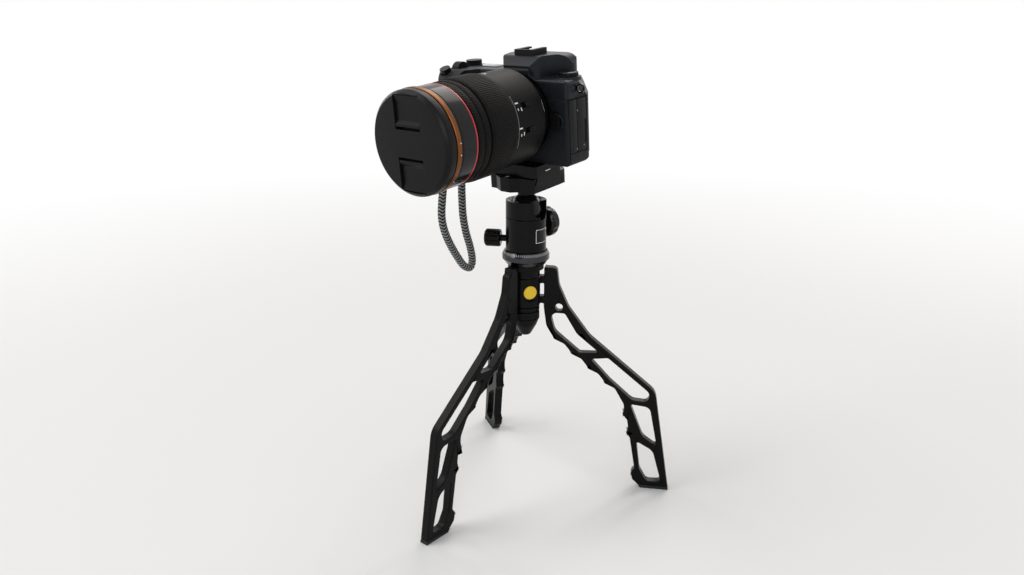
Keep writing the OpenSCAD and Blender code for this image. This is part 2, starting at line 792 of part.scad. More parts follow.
// Shutter button, square to the sloping top of the grip
module on_shutter() {
    translate([x_grip + 9, y_grip + 11.5, deck_up - 1.6]) rotate([22, 0, 0]) children();
}

module shutter_button() {
    color("#1a1a1c") on_ball() on_shutter() translate([0, 0, -2.4]) cylinder(r = 5.1, h = 6);
}

module on_grip_dial() {
    translate([x_grip + 12, y_front + 1.5, deck_up - 2.6]) rotate([0, 90, 0]) children();
}

module dial_space() {
    on_grip_dial() cylinder(r = 8.3, h = 8.6, center = true);
}

module grip_dial() {
    color("#151515") on_ball() on_grip_dial() cylinder(r = 8, h = 8, center = true);
}

// Plan of the viewfinder hump: a narrow front plate that widens towards the eyepiece
hump_rear = 36;
hump_plan = [[-14, y_front - 3, 2], [14, y_front - 3, 2], [20.5, y_front + 5, 5], [26, y_front + 20, 14],
    [hump_rear, y_rear + 1, 6], [hump_rear - 2, y_rear + 10, 4], [2 - hump_rear, y_rear + 10, 4],
    [-hump_rear, y_rear + 1, 6], [-26, y_front + 20, 14], [-20.5, y_front + 5, 5]];

module hump() {
    intersection() {
        slab(hump_plan, seam_up, hump_top);
        front_cut([[-hump_rear - 3, seam_up, 0], [hump_rear + 3, seam_up, 0],
            [hump_rear + 1, shoulder_up + 4, 6], [hump_rear - 4, hump_top, 9],
            [4 - hump_rear, hump_top, 9], [-hump_rear - 1, shoulder_up + 4, 6]], y_front - 8, y_rear + 11);
        side_cut([[y_front - 3, axis_up + lens_rear_r - 12, 0], [y_front - 3, shoulder_up + 10, 8],
            [y_front + 6, hump_top, 7], [y_rear + 6, hump_top, 5], [y_rear + 10, hump_top - 6, 4],
            [y_rear + 10, shoulder_up - 9, 2], [y_rear, seam_up, 0]], -40, 40);
    }
}

// Raised deck on the grip side, with a hollow for the thumb behind it
module grip_deck() {
    intersection() {
        slab(body_plan, seam_up, deck_up);
        front_cut([[x_grip, seam_up, 0], [-18, seam_up, 0], [-18, deck_up, 0], [x_grip, deck_up, 4]],
            y_front - 1, y_rear + 1);
        side_cut([[y_front, seam_up, 0], [y_rear, seam_up, 0], [y_rear, deck_up - 5, 3],
            [y_rear - 3, deck_up, 2], [y_front, deck_up, 1.5]], x_grip - 1, 0);
    }
}

module top_cover() {
    color("#24262b") on_ball() difference() {
        union() {
            difference() {
                body_blank(seam_up, shoulder_up);
                corner_slope();
            }
            hump();
            grip_deck();
            translate([power_x, power_y, shoulder_up - 2]) cylinder(r = power_r + 2.6, h = 3);
            intersection() {
                mount_collar();
                block(-60, 60, -20, 20, seam_up, shoulder_up + 10);
            }
        }
        translate([0, -flange_y, axis_up]) rotate([90, 0, 0]) cylinder(r = lens_rear_r + gap, h = 40);
        translate([0, y_front + 18, axis_up]) rotate([90, 0, 0]) cylinder(r = throat_r, h = 40);
        lug_spaces();
        block(-12, 12, y_rear + 6, y_rear + 20, shoulder_up - 1, shoulder_up + 13);
        translate([power_x, power_y, shoulder_up - 4]) cylinder(r = 4 + fit, h = 20);
        translate([thumb_x, thumb_y, deck_up - 4]) cylinder(r = 4 + fit, h = 20);
        dial_space();
    }
}

power_r = 8.6;
power_x = x_door - 11.3;
power_y = y_front + 18.5;
thumb_x = x_grip + 11;
thumb_y = y_front + 22;

module knurled(r, h, count) {
    difference() {
        cylinder(r = r, h = h);
        for (i = [0:count - 1]) rotate([0, 0, 360 / count * i]) translate([r + 0.5, 0, 0.8])
            cylinder(r = 0.9, h = h - 1.6, $fn = 16);
    }
}

module power_dial() {
    color("#1a1b1e") on_ball() translate([power_x, power_y, 0]) {
        translate([0, 0, shoulder_up - 3]) cylinder(r = 4, h = 6);
        translate([0, 0, shoulder_up + 1 + gap]) knurled(power_r, 3, 30);
    }
}

module thumb_dial() {
    color("#1a1b1e") on_ball() translate([thumb_x, thumb_y, 0]) {
        translate([0, 0, deck_up - 3]) cylinder(r = 4, h = 6);
        translate([0, 0, deck_up + gap]) knurled(7.5, 4, 24);
    }
}

module accessory_shoe() {
    y0 = y_front + 9;
    color("#2c2d30") on_ball() difference() {
        block(-10.6, 10.6, y0, y0 + 20, hump_top, hump_top + 4.8);
        block(-9.3, 9.3, y0 + 2.4, y0 + 21, hump_top + 1.2, hump_top + 3.3);
        block(-6.3, 6.3, y0 + 2.4, y0 + 21, hump_top + 2, hump_top + 6);
    }
}

screen_x1 = x_door - 9;
screen_x0 = screen_x1 - screen_w;
hinge_x = screen_x1 + 2.6;
screen_z0 = base_up + 7;
screen_z1 = screen_z0 + screen_h;

module rear_cover() {
    color("#202226") on_ball() difference() {
        intersection() {
            slab([[x_grip + 4, y_rear, 0], [x_door - 3, y_rear, 0], [x_door - 3, y_rear + rear_t, 2],
                [x_grip + 4, y_rear + rear_t, 3]], base_up + 6.5, shoulder_up - 3);
            front_cut(box_outline(x_grip + 4, x_door - 3, base_up + 6.5, shoulder_up - 3, 5),
                y_rear, y_rear + rear_t);
        }
        block(screen_x0 - gap, screen_x1 + 6, y_rear + 0.4, y_rear + 20, screen_z0 - gap, screen_z1 + gap);
        block(-hump_rear - gap, hump_rear + gap, y_rear - 1, y_rear + 20, seam_up, shoulder_up);
        corner_slope();
    }
    color("#202226") on_ball() for (z = [screen_z0 - gap, screen_z1 - 8 + gap]) {
        translate([hinge_x, y_rear + 3.2, z]) cylinder(r = 2.2, h = 8);
        block(hinge_x - 2, hinge_x + 2, y_rear, y_rear + 3.2, z, z + 8);
    }
    color("#18191b") on_ball() for (p = [[-58, 62], [-47, 62], [-74, 48], [-47, 50], [-42, 30], [-47, 12]])
        translate([p.x, y_rear + rear_t, base_up + p.y]) rotate([-90, 0, 0]) cylinder(r = 2.6, h = 0.8);
    color("#18191b") on_ball() translate([-56, y_rear + rear_t, base_up + 32]) rotate([-90, 0, 0])
        cylinder(r = 8, h = 1);
}

module screen_hinge() {
    color("#1b1c1f") on_ball() {
        translate([hinge_x, y_rear + 3.2, screen_z0 + 8]) cylinder(r = 2.2, h = screen_h - 16);
        block(screen_x1 - 3, hinge_x, y_rear + 1.6, y_rear + 4.8, screen_z0 + 14, screen_z1 - 14);
    }
}

module folding_screen() {
    color("#17181b") on_ball() difference() {
        intersection() {
            block(screen_x0, screen_x1, y_rear + 0.6, y_rear + 0.6 + screen_t, screen_z0, screen_z1);
            front_cut(box_outline(screen_x0, screen_x1, screen_z0, screen_z1, 3), y_rear, y_rear + 20);
        }
        block(screen_x1 - 3, screen_x1 + 1, y_rear, y_rear + 20, screen_z0 + 14, screen_z1 - 14);
    }
}

module eyecup() {
    z0 = shoulder_up - 5;
    color("#101011") on_ball() difference() {
        front_cut(box_outline(-20, 20, z0, hump_top - 7, 7), y_rear + 10, y_rear + 19);
        front_cut(box_outline(-12, 12, z0 + 4.5, hump_top - 11.5, 3), y_rear + 9, y_rear + 20);
    }
}

module lens_mount() {
    color("#b9bbbe") on_ball() translate([0, y_front + 1, axis_up]) rotate([90, 0, 0])
        ring(throat_r, throat_r - 2, y_front + 1 + flange_y);
}

module image_sensor() {
    color("#2f5f5a") on_ball() block(-18, 18, y_front + 18, y_front + 20, axis_up - 12, axis_up + 12);
}

lug_y = y_front + 15;
door_lug_up = shoulder_up - 8;
lug_up = shoulder_up - 15.8;

module strap_lugs() {
    color("#b5b5b8") on_ball() {
        lug(x_grip, -1, lug_up);
        lug(x_door, 1, door_lug_up);
    }
}

// Shank set into the body, and the eye that stands out from it
module lug_shank(x, side, up) {
    block(min(x - side * 3, x + side * 1.2), max(x - side * 3, x + side * 1.2),
        lug_y - 1.8, lug_y, up - 1.6, up + 1.6);
}

module lug(x, side, up) {
    lug_shank(x, side, up);
    translate([x + side * 4.4, lug_y, up]) rotate([90, 0, 0]) ring(4.2, 2.9, 1.8);
}

module lug_spaces() {
    lug_shank(x_grip, -1, lug_up);
    lug_shank(x_door, 1, door_lug_up);
}

// ---- Lens ----

module lens_barrel() {
    color("#1c1c1d") on_lens() difference() {
        rotate_extrude() polygon([[bore_r, gap], [lens_rear_r, gap], [lens_rear_r, 4], [lens_r - 1, 13],
            [lens_r, 14], [lens_r, zoom_t0 - 0.6], [core_r, zoom_t0 - 0.6], [core_r, barrel_end],
            [bore_r, barrel_end], [bore_r, stop_t0], [30, stop_t0], [30, 8], [20, 8], [20, -3], [23, -3],
            [23, gap]]);
        switch_space(focus_at);
        switch_space(steady_at);
    }
}

// Angles of the two switches up from the door side
focus_at = 24;
steady_at = -5;

module on_switch(angle) {
    rotate([0, 0, angle]) children();
}

module switch_space(angle) {
    on_switch(angle) block(core_r - 0.6, lens_r + 1, -2.3, 2.3, 29, 41);
}

module switch_knob(angle, t) {
    color("#19191a") on_lens() on_switch(angle) difference() {
        block(core_r - 0.3, lens_r + 0.5, -2, 2, t, t + 6);
        for (k = [1.5, 3, 4.5]) block(lens_r, lens_r + 2, -3, 3, t + k - 0.3, t + k + 0.3);
    }
}

module focus_switch() { switch_knob(focus_at, 29.3); }
module steady_switch() { switch_knob(steady_at, 29.3); }

module zoom_ring() {
    color("#242222") on_lens(zoom_t0) rotate_extrude()
        polygon(rounded([[turn_bore, 0, 0], [lens_r + 0.4, 0, 0.3], [lens_r + 0.4, 2, 0],
            [zoom_r, 3.2, 0.8], [zoom_r, zoom_len - 0.8, 0.5], [lens_r + 0.6, zoom_len, 0.3],
            [turn_bore, zoom_len, 0]]));
}

module focus_ring() {
    color("#242222") on_lens(focus_t0) ring(ring_r, turn_bore, focus_len);
}

module control_ring() {
    color("#1a1a1a") on_lens(control_t0) ring(ring_r - 0.3, turn_bore, control_len);
}

module front_barrel() {
    t0 = barrel_end + gap;
    color("#1a1a1b") on_lens() rotate_extrude() difference() {
        polygon(rounded([[tube_r, tube_t0, 0], [bore_r - fit, tube_t0, 0], [bore_r - fit, t0, 0],
            [head_r - 0.8, t0, 0], [head_r, t0 + 0.8, 0], [head_r, lens_len - 1.5, 0.5],
            [head_r - 0.8, lens_len, 0], [rim_bore_r, lens_len, 0], [rim_bore_r, lens_len - 5, 0],
            [tube_r, lens_len - 12, 0]]));
        translate([head_r - 1.2, t0 + 1]) square([3, 1.4]);
    }
}

module red_ring() {
    color("#b01822") on_lens(barrel_end + gap + 1) ring(head_r + 0.1, head_r - 1.2, 1.4);
}

module lens_elements() {
    color("#30384a") on_lens(lens_len - 30) {
        cylinder(r = tube_r, h = 10);
        translate([0, 0, 10]) intersection() {
            cylinder(r = tube_r, h = 12);
            translate([0, 0, -66]) sphere(r = 74);
        }
    }
}

module filter_frame() {
    color("#141414") on_lens(lens_len) difference() {
        union() {
            ring(head_r + 0.4, rim_bore_r - 1, 1.1);
            translate([0, 0, -3]) ring(rim_bore_r, rim_bore_r - 1, 3.1);
        }
    }
}

module filter_ring() {
    color("#9a6b3c") on_lens(ring_t0) rotate_extrude()
        polygon(rounded([[38, 0, 0], [filter_r - 0.4, 0, 0.3], [filter_r, 0.5, 0],
            [filter_r, filter_ring_t - 0.5, 0], [filter_r - 0.5, filter_ring_t, 0],
            [39.3, filter_ring_t, 0], [39.3, 0.8, 0], [38, 0.8, 0]]));
}

module filter_glass() {
    color("#5a6a6a", 0.5) on_lens(ring_t0 + 0.8) cylinder(r = 39.3, h = 1.5);
}

module lens_cap() {
    depth = 5;
    color("#161617") on_lens(cap_t0) difference() {
        rotate_extrude() polygon(rounded([[0, -2, 0], [38.9, -2, 0.5], [38.9, 0, 0], [cap_r, 0, 0.4],
            [cap_r, cap_t - 2.8, 2.4], [cap_r - 3, cap_t, 1.5], [0, cap_t, 0]]));
        for (m = [0, 1]) mirror([0, m, 0])
            block(-latch_w / 2 - gap, latch_w / 2 + gap, latch_in - latch_travel - gap,
                latch_out + gap, cap_t - depth, cap_t + 1);
    }
}

// Pinch latch with a thumb lip at its inner end
module cap_latch(up) {
    low = cap_t - 4.7;
    color("#1d1d1e") on_lens(cap_t0) mirror([0, up ? 0 : 1, 0]) translate([-latch_w / 2, 0, 0])
        rotate([90, 0, 90]) linear_extrude(latch_w)
            polygon(rounded([[latch_in, low, 0], [latch_out, low, 0], [latch_out, cap_t - 0.8, 0.6],
                [latch_out - 7, cap_t - 2.6, 8], [latch_in + 5, cap_t - 2.4, 3],
                [latch_in + 2, cap_t - 0.2, 0.6], [latch_in, cap_t - 0.2, 0.5]]));
}

module cap_latch_top() { cap_latch(true); }
module cap_latch_bottom() { cap_latch(false); }

// ---- Wrist strap ----

function tangent(k) = unit(strap_points[min(k + 1, len(strap_points) - 1)] - strap_points[max(k - 1, 0)]);

module wrist_strap() {
    last = len(strap_points) - 1;
    n = strap_sides;
    color("#4a4a4c") polyhedron(
        points = [for (k = [0:last], i = [0:n - 1])
            let (t = tangent(k), a = 360 * i / n)
            strap_points[k] + strap_d / 2 * (cos(a) * cross(t, [1, 0, 0]) + sin(a) * [1, 0, 0])],
        faces = concat([[for (i = [0:n - 1]) i]], [[for (i = [0:n - 1]) last * n + n - 1 - i]],
            [for (k = [0:last - 1], i = [0:n - 1])
                [k * n + i, (k + 1) * n + i, (k + 1) * n + (i + 1) % n, k * n + (i + 1) % n]]));
}

// Stitched sleeve over the two ends, and the thin cord that runs from it through the lug
module strap_sleeve() {
    color("#19191a") {
        translate([0, 0, strap_points[0].z - 2]) linear_extrude(20)
            polygon(rounded(box_outline(strap_x - 5, strap_x + 5, -8.8, 8.6, 3)));
        on_ball() difference() {
            block(x_grip - 5.4, x_grip - 3.4, lug_y - 3.3, lug_y + 1.5, lug_up - 9, lug_up - 1.2);
            block(x_grip - 6, x_grip - 3, lug_y - 2.1, lug_y + gap, lug_up - 10, lug_up - 2.4);
        }
    }
}

// ---- The part, one node at a time ----

tripod_platform();
hinge_pin();
hub_tail();
leg_front();
leg_right();
leg_rear();
shoe_front();
shoe_right();
shoe_rear();
hub_badge();
head_base();
head_housing();
ball_seat();
ball();
ball_stem();
lock_knob();
pan_knob();
clamp_body();
clamp_jaw();
clamp_knob();
bubble_level();
release_plate();
plate_screw();
body_shell();
top_cover();
rear_cover();
hand_grip();
accessory_shoe();
lens_mount();
image_sensor();
shutter_button();
grip_dial();
thumb_dial();
power_dial();
lens_release();
strap_lugs();
port_door();
eyecup();
screen_hinge();
folding_screen();
card_door();
battery_door();
battery();
lens_barrel();
focus_switch();
steady_switch();
zoom_ring();
focus_ring();
control_ring();
front_barrel();
red_ring();
lens_elements();
filter_frame();
filter_ring();
filter_glass();
lens_cap();
cap_latch_top();
cap_latch_bottom();
wrist_strap();
strap_sleeve();
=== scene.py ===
import json
from math import cos, pi, radians, sin

import bmesh
import bpy
from mathutils import Matrix, Vector


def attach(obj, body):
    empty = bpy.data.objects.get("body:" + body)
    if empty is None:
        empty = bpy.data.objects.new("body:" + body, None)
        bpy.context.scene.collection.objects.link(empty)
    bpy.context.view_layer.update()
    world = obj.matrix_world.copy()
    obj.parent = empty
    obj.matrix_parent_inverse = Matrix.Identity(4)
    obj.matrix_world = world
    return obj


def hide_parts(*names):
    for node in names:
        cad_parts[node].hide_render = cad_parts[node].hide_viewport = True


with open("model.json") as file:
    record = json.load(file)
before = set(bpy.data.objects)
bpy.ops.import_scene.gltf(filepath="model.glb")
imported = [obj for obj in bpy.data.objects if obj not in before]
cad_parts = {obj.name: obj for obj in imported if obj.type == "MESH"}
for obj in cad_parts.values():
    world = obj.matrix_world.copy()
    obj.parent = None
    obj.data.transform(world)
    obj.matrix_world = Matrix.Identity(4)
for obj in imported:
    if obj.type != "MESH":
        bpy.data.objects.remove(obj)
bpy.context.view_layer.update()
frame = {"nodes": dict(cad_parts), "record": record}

mm = 0.001
# The centre of the ball, and the tilt of the camera on it in degrees
ball = {"height": 0.2895, "noseDown": 5.2}
scene = bpy.context.scene
bodyOf = {node: body for body, members in frame["record"]["behaviour"]["bodies"].items() for node in members}
print("frame loaded")


# Camera

view = {"place": (0.4907, -0.6060, 0.4674), "pitch": 71.79, "heading": 39.97, "lens": 29.87,
        "sensor": 36}


def makeCamera():
    data = bpy.data.cameras.new("photoView")
    data.lens = view["lens"]
    data.sensor_width = view["sensor"]
    camera = bpy.data.objects.new("photoView", data)
    camera.location = view["place"]
    camera.rotation_euler = (radians(view["pitch"]), 0, radians(view["heading"]))
    scene.collection.objects.link(camera)
    scene.camera = camera


makeCamera()


# Shared effects as node groups

def newGroup(name, inputs, outputs):
    group = bpy.data.node_groups.new(name, "ShaderNodeTree")
    for label, kind, value in inputs:
        socket = group.interface.new_socket(label, in_out="INPUT", socket_type=kind)
        socket.default_value = value
    for label, kind in outputs:
        group.interface.new_socket(label, in_out="OUTPUT", socket_type=kind)
    return group, group.nodes.new("NodeGroupInput"), group.nodes.new("NodeGroupOutput")


def mathNode(tree, operation, a, b=None, c=None, clamp=False):
    node = tree.nodes.new("ShaderNodeMath")
    node.operation = operation
    node.use_clamp = clamp
    for slot, value in enumerate((a, b, c)):
        if value is None:
            continue
        if isinstance(value, (int, float)):
            node.inputs[slot].default_value = value
        else:
            tree.links.new(value, node.inputs[slot])
    return node.outputs[0]


def noiseNode(tree, vector, size, detail=2.0, rough=0.5):
    noise = tree.nodes.new("ShaderNodeTexNoise")
    tree.links.new(vector, noise.inputs["Vector"])
    if isinstance(size, (int, float)):
        noise.inputs["Scale"].default_value = size
    else:
        tree.links.new(size, noise.inputs["Scale"])
    noise.inputs["Detail"].default_value = detail
    noise.inputs["Roughness"].default_value = rough
    return noise.outputs["Fac"]


def mixColors(tree, factor, a, b):
    # One colour laid over another, through the mix node's colour sockets
    mix = tree.nodes.new("ShaderNodeMix")
    mix.data_type = "RGBA"
    tree.links.new(factor, mix.inputs["Factor"])
    for slot, value in ((6, a), (7, b)):
        if isinstance(value, tuple):
            mix.inputs[slot].default_value = value
        else:
            tree.links.new(value, mix.inputs[slot])
    return mix.outputs[2]


effectShape = {
    # noise: scale, detail, roughness
    "broadGrain": (38.0, 3.0, 0.6), "dustSpeck": (260.0, 4.0, 0.7), "dustPatch": (22.0, 3.0, 0.6),
    "wearPatch": (120.0, 4.0, 0.7), "cellGrain": (2600.0, 2.0, 0.5),
    "cellSteep": 3.5, "cellRound": 0.6, "cellGrainShare": 0.2,
    "speckPower": 3.0, "dustGain": 8.0,
    "edgeFrom": 0.53, "edgeGain": 9.0, "wearPower": 2.0,
}


def grainGroup():
    # Fine moulded or painted grain: a height and a matching spread of roughness
    group, given, out = newGroup("surfaceGrain", [
        ("Scale", "NodeSocketFloat", 1500.0), ("Roughness", "NodeSocketFloat", 0.4),
        ("Spread", "NodeSocketFloat", 0.08)],
        [("Height", "NodeSocketFloat"), ("Roughness", "NodeSocketFloat")])
    place = group.nodes.new("ShaderNodeTexCoord").outputs["Object"]
    fine = noiseNode(group, place, given.outputs["Scale"], 2.0)
    broad = noiseNode(group, place, *effectShape["broadGrain"])
    patch = mathNode(group, "SUBTRACT", broad, 0.5)
    spread = mathNode(group, "MULTIPLY", patch, given.outputs["Spread"])
    group.links.new(fine, out.inputs["Height"])
    group.links.new(mathNode(group, "ADD", given.outputs["Roughness"], spread, clamp=True),
                    out.inputs["Roughness"])
    return group


def pebbleGroup():
    # Pressed leatherette: rounded cells with sunk lines between them
    group, given, out = newGroup("pressedCells", [("Scale", "NodeSocketFloat", 700.0)],
                                 [("Height", "NodeSocketFloat")])
    place = group.nodes.new("ShaderNodeTexCoord").outputs["Object"]
    cells = group.nodes.new("ShaderNodeTexVoronoi")
    cells.feature = "DISTANCE_TO_EDGE"
    group.links.new(place, cells.inputs["Vector"])
    group.links.new(given.outputs["Scale"], cells.inputs["Scale"])
    rise = mathNode(group, "MULTIPLY", cells.outputs["Distance"], effectShape["cellSteep"], clamp=True)
    rise = mathNode(group, "POWER", rise, effectShape["cellRound"])
    fine = noiseNode(group, place, *effectShape["cellGrain"])
    share = mathNode(group, "MULTIPLY", fine, effectShape["cellGrainShare"])
    group.links.new(mathNode(group, "ADD", rise, share), out.inputs["Height"])
    return group


def dustGroup():
    # Thin dust and handling marks that lift the colour a little
    group, given, out = newGroup("lightDust", [
        ("Color", "NodeSocketColor", (0.02, 0.02, 0.02, 1)),
        ("Dust", "NodeSocketColor", (0.2, 0.19, 0.18, 1)),
        ("Amount", "NodeSocketFloat", 0.03)],
        [("Color", "NodeSocketColor")])
    place = group.nodes.new("ShaderNodeTexCoord").outputs["Object"]
    speck = noiseNode(group, place, *effectShape["dustSpeck"])
    patch = noiseNode(group, place, *effectShape["dustPatch"])
    mask = mathNode(group, "MULTIPLY", mathNode(group, "POWER", speck, effectShape["speckPower"]), patch)
    gain = mathNode(group, "MULTIPLY", given.outputs["Amount"], effectShape["dustGain"])
    mask = mathNode(group, "MULTIPLY", mask, gain, clamp=True)
    mixed = mixColors(group, mask, given.outputs["Color"], given.outputs["Dust"])
    group.links.new(mixed, out.inputs["Color"])
    return group


def wearGroup():
    # Where a painted edge has been handled: 1 on a worn patch of an outer edge
    group, given, out = newGroup("edgeWear", [("Amount", "NodeSocketFloat", 0.3)],
                                 [("Mask", "NodeSocketFloat")])
    edge = group.nodes.new("ShaderNodeNewGeometry").outputs["Pointiness"]
    place = group.nodes.new("ShaderNodeTexCoord").outputs["Object"]
    patch = noiseNode(group, place, *effectShape["wearPatch"])
    beyond = mathNode(group, "SUBTRACT", edge, effectShape["edgeFrom"])
    sharp = mathNode(group, "MULTIPLY", beyond, effectShape["edgeGain"], clamp=True)
    worn = mathNode(group, "MULTIPLY", sharp, mathNode(group, "POWER", patch, effectShape["wearPower"]))
    mask = mathNode(group, "MULTIPLY", worn, given.outputs["Amount"], clamp=True)
    group.links.new(mask, out.inputs["Mask"])
    return group


clearCoat = {"rough": 0.1, "onGlass": 0.5}
effects = {"grain": grainGroup(), "dust": dustGroup(), "pebble": pebbleGroup(), "wear": wearGroup()}


def effectNode(tree, effect, **values):
    node = tree.nodes.new("ShaderNodeGroup")
    node.node_tree = effects[effect]
    for label, value in values.items():
        node.inputs[label].default_value = value
    return node


def newMaterial(name, color, rough, grain=1500.0, spread=0.08, depth=0.00002, dust=0.03, metal=0.0,
                coat=0.0, specular=0.5, sheen=0.0, pebble=0.0, wear=0.0, worn=(0.12, 0.12, 0.12)):
    # Principled base with grain, uneven roughness, dust and worn edges
    material = bpy.data.materials.new(name)
    material.use_nodes = True
    tree = material.node_tree
    shader = tree.nodes["Principled BSDF"]
    shader.inputs["Metallic"].default_value = metal
    shader.inputs["Coat Weight"].default_value = coat
    shader.inputs["Coat Roughness"].default_value = clearCoat["rough"]
    shader.inputs["Specular IOR Level"].default_value = specular
    shader.inputs["Sheen Weight"].default_value = sheen
    grainNode = effectNode(tree, "grain", Scale=grain, Roughness=rough, Spread=spread)
    tree.links.new(grainNode.outputs["Roughness"], shader.inputs["Roughness"])
    paint = effectNode(tree, "dust", Color=(*color, 1), Amount=dust).outputs["Color"]
    if wear:
        mask = effectNode(tree, "wear", Amount=wear).outputs["Mask"]
        paint = mixColors(tree, mask, paint, (*worn, 1))
    tree.links.new(paint, shader.inputs["Base Color"])
    bump = tree.nodes.new("ShaderNodeBump")
    bump.inputs["Strength"].default_value = 1.0
    bump.inputs["Distance"].default_value = depth
    height = grainNode.outputs["Height"]
    if pebble:
        height = effectNode(tree, "pebble", Scale=pebble).outputs["Height"]
    tree.links.new(height, bump.inputs["Height"])
    tree.links.new(bump.outputs["Normal"], shader.inputs["Normal"])
    return material


finishes = {
    "castBlack": dict(color=(0.0022, 0.0022, 0.0024), rough=0.27, grain=900, depth=0.00003, dust=0.01,
                      specular=0.10, wear=0.25, worn=(0.05, 0.05, 0.05)),
    "anodised": dict(color=(0.0016, 0.0016, 0.0019), rough=0.17, grain=2500, depth=0.000006,
                     dust=0.005, specular=0.12,
                     wear=0.3, worn=(0.10, 0.10, 0.10)),
    "ballBlack": dict(color=(0.006, 0.006, 0.006), rough=0.14, grain=2500, depth=0.000004, dust=0.0,
                      specular=0.2),
    "polishedBlack": dict(color=(0.050, 0.050, 0.055), rough=0.15, grain=2400, depth=0.000005, dust=0.01,
                          metal=1.0),
    "steel": dict(color=(0.62, 0.62, 0.63), rough=0.22, grain=3000, depth=0.000005, dust=0.01, metal=1.0),
    "badgeYellow": dict(color=(0.83, 0.55, 0.012), rough=0.35, grain=2000, depth=0.000005, dust=0.01),
    "soleRubber": dict(color=(0.010, 0.010, 0.010), rough=0.7, grain=1400, depth=0.00006, dust=0.05,
                       specular=0.3),
    "ringRubber": dict(color=(0.0052, 0.0044, 0.0042), rough=0.50, grain=2600, depth=0.000015, dust=0.02,
                       specular=0.06),
    "eyeRubber": dict(color=(0.010, 0.010, 0.010), rough=0.65, grain=1800, depth=0.00003, dust=0.04,
                      specular=0.3),
    "liner": dict(color=(0.55, 0.52, 0.45), rough=0.4, grain=1500, depth=0.00001),
    "vial": dict(color=(0.30, 0.42, 0.10), rough=0.12, grain=1500, depth=0.000002, coat=0.6),
    "bodyPlastic": dict(color=(0.0070, 0.0084, 0.0120), rough=0.36, grain=2600, depth=0.000020, dust=0.015,
                        specular=0.18, wear=0.2, worn=(0.08, 0.08, 0.09)),
    "leatherette": dict(color=(0.0058, 0.0068, 0.0090), rough=0.46, grain=2600, depth=0.00010, dust=0.02,
                        specular=0.14, pebble=900.0),
    "blackPlastic": dict(color=(0.0040, 0.0040, 0.0046), rough=0.36, grain=2200, depth=0.000015, dust=0.015,
                         specular=0.12),
    "glossPlastic": dict(color=(0.0030, 0.0028, 0.0030), rough=0.15, grain=2200, depth=0.000004, dust=0.01,
                         specular=0.22),
    "screenGloss": dict(color=(0.004, 0.004, 0.006), rough=0.06, grain=1200, depth=0.000001, dust=0.01,
                        coat=0.5),
    "mountChrome": dict(color=(0.72, 0.72, 0.73), rough=0.18, grain=2400, depth=0.000002, dust=0.0,
                        metal=1.0),
    "sensor": dict(color=(0.03, 0.09, 0.08), rough=0.15, grain=1200, depth=0.000001, coat=0.5),
    "lensBlack": dict(color=(0.0042, 0.0036, 0.0034), rough=0.42, grain=2400, depth=0.000012, dust=0.012,
                      specular=0.06),
    "lensGloss": dict(color=(0.0025, 0.0025, 0.0030), rough=0.16, grain=2400, depth=0.000004, dust=0.01,
                      specular=0.22),
    "redLine": dict(color=(0.50, 0.012, 0.030), rough=0.28, grain=2000, depth=0.000003, dust=0.0),
    "brassRing": dict(color=(0.165, 0.056, 0.014), rough=0.30, grain=2200, depth=0.000008, dust=0.01,
                      metal=0.85),
    "capBlack": dict(color=(0.0056, 0.0056, 0.0062), rough=0.33, grain=2600, depth=0.000008, dust=0.01,
                     specular=0.12),
    "sleeveLeather": dict(color=(0.010, 0.0095, 0.0095), rough=0.5, grain=1500, depth=0.00005, dust=0.03,
                          specular=0.3),
    "yarnWhite": dict(color=(0.300, 0.305, 0.310), rough=0.8, grain=4200, depth=0.00012, dust=0.0,
                      specular=0.2, sheen=0.3),
    "yarnBlack": dict(color=(0.007, 0.007, 0.008), rough=0.8, grain=4200, depth=0.00012, dust=0.0,
                      specular=0.2, sheen=0.1),
    "markWhite": dict(color=(0.80, 0.80, 0.78), rough=0.5, grain=2600, depth=0.000004, dust=0.0),
    "markGrey": dict(color=(0.20, 0.20, 0.20), rough=0.5, grain=2600, depth=0.000004, dust=0.0),
}
materials = {name: newMaterial(name, **values) for name, values in finishes.items()}


def glassMaterial(name, color, rough, clear):
    material = bpy.data.materials.new(name)
    material.use_nodes = True
    shader = material.node_tree.nodes["Principled BSDF"]
    shader.inputs["Base Color"].default_value = (*color, 1)
    shader.inputs["Roughness"].default_value = rough
    shader.inputs["Transmission Weight"].default_value = clear
    shader.inputs["Coat Weight"].default_value = clearCoat["onGlass"]
    return material


materials["optics"] = glassMaterial("optics", (0.25, 0.28, 0.45), 0.03, 0.6)
materials["filterDark"] = glassMaterial("filterDark", (0.25, 0.27, 0.27), 0.03, 0.7)
print("materials made:", len(materials))


# Wrist strap: a hanging loop of braided cord, both ends in the leather sleeve

strap = {
    "side": -0.089, "diameter": 0.0084, "curveSteps": 60,
    "route": [(-4.2, 80.5), (-6, 68.5), (-9.5, 55.5), (-14, 38.5), (-17.6, 20.5), (-21, 0.5), (-22.5, -17.5),
              (-19, -33.5), (-11, -49.5), (-1, -64.5), (8, -75.5), (17, -79.5), (21, -72.5), (18, -57.5),
              (12, -40.5), (8, -21.5), (7, 0.5), (7, 22.5), (6.8, 40.5), (6.2, 55.5), (5, 68.5), (4.3, 80.5)],
    "strands": 12, "strandRadius": 0.00088, "middle": 0.00302, "weave": 0.00028, "pitch": 0.0100,
    "step": 0.00062, "core": 0.0031,
}


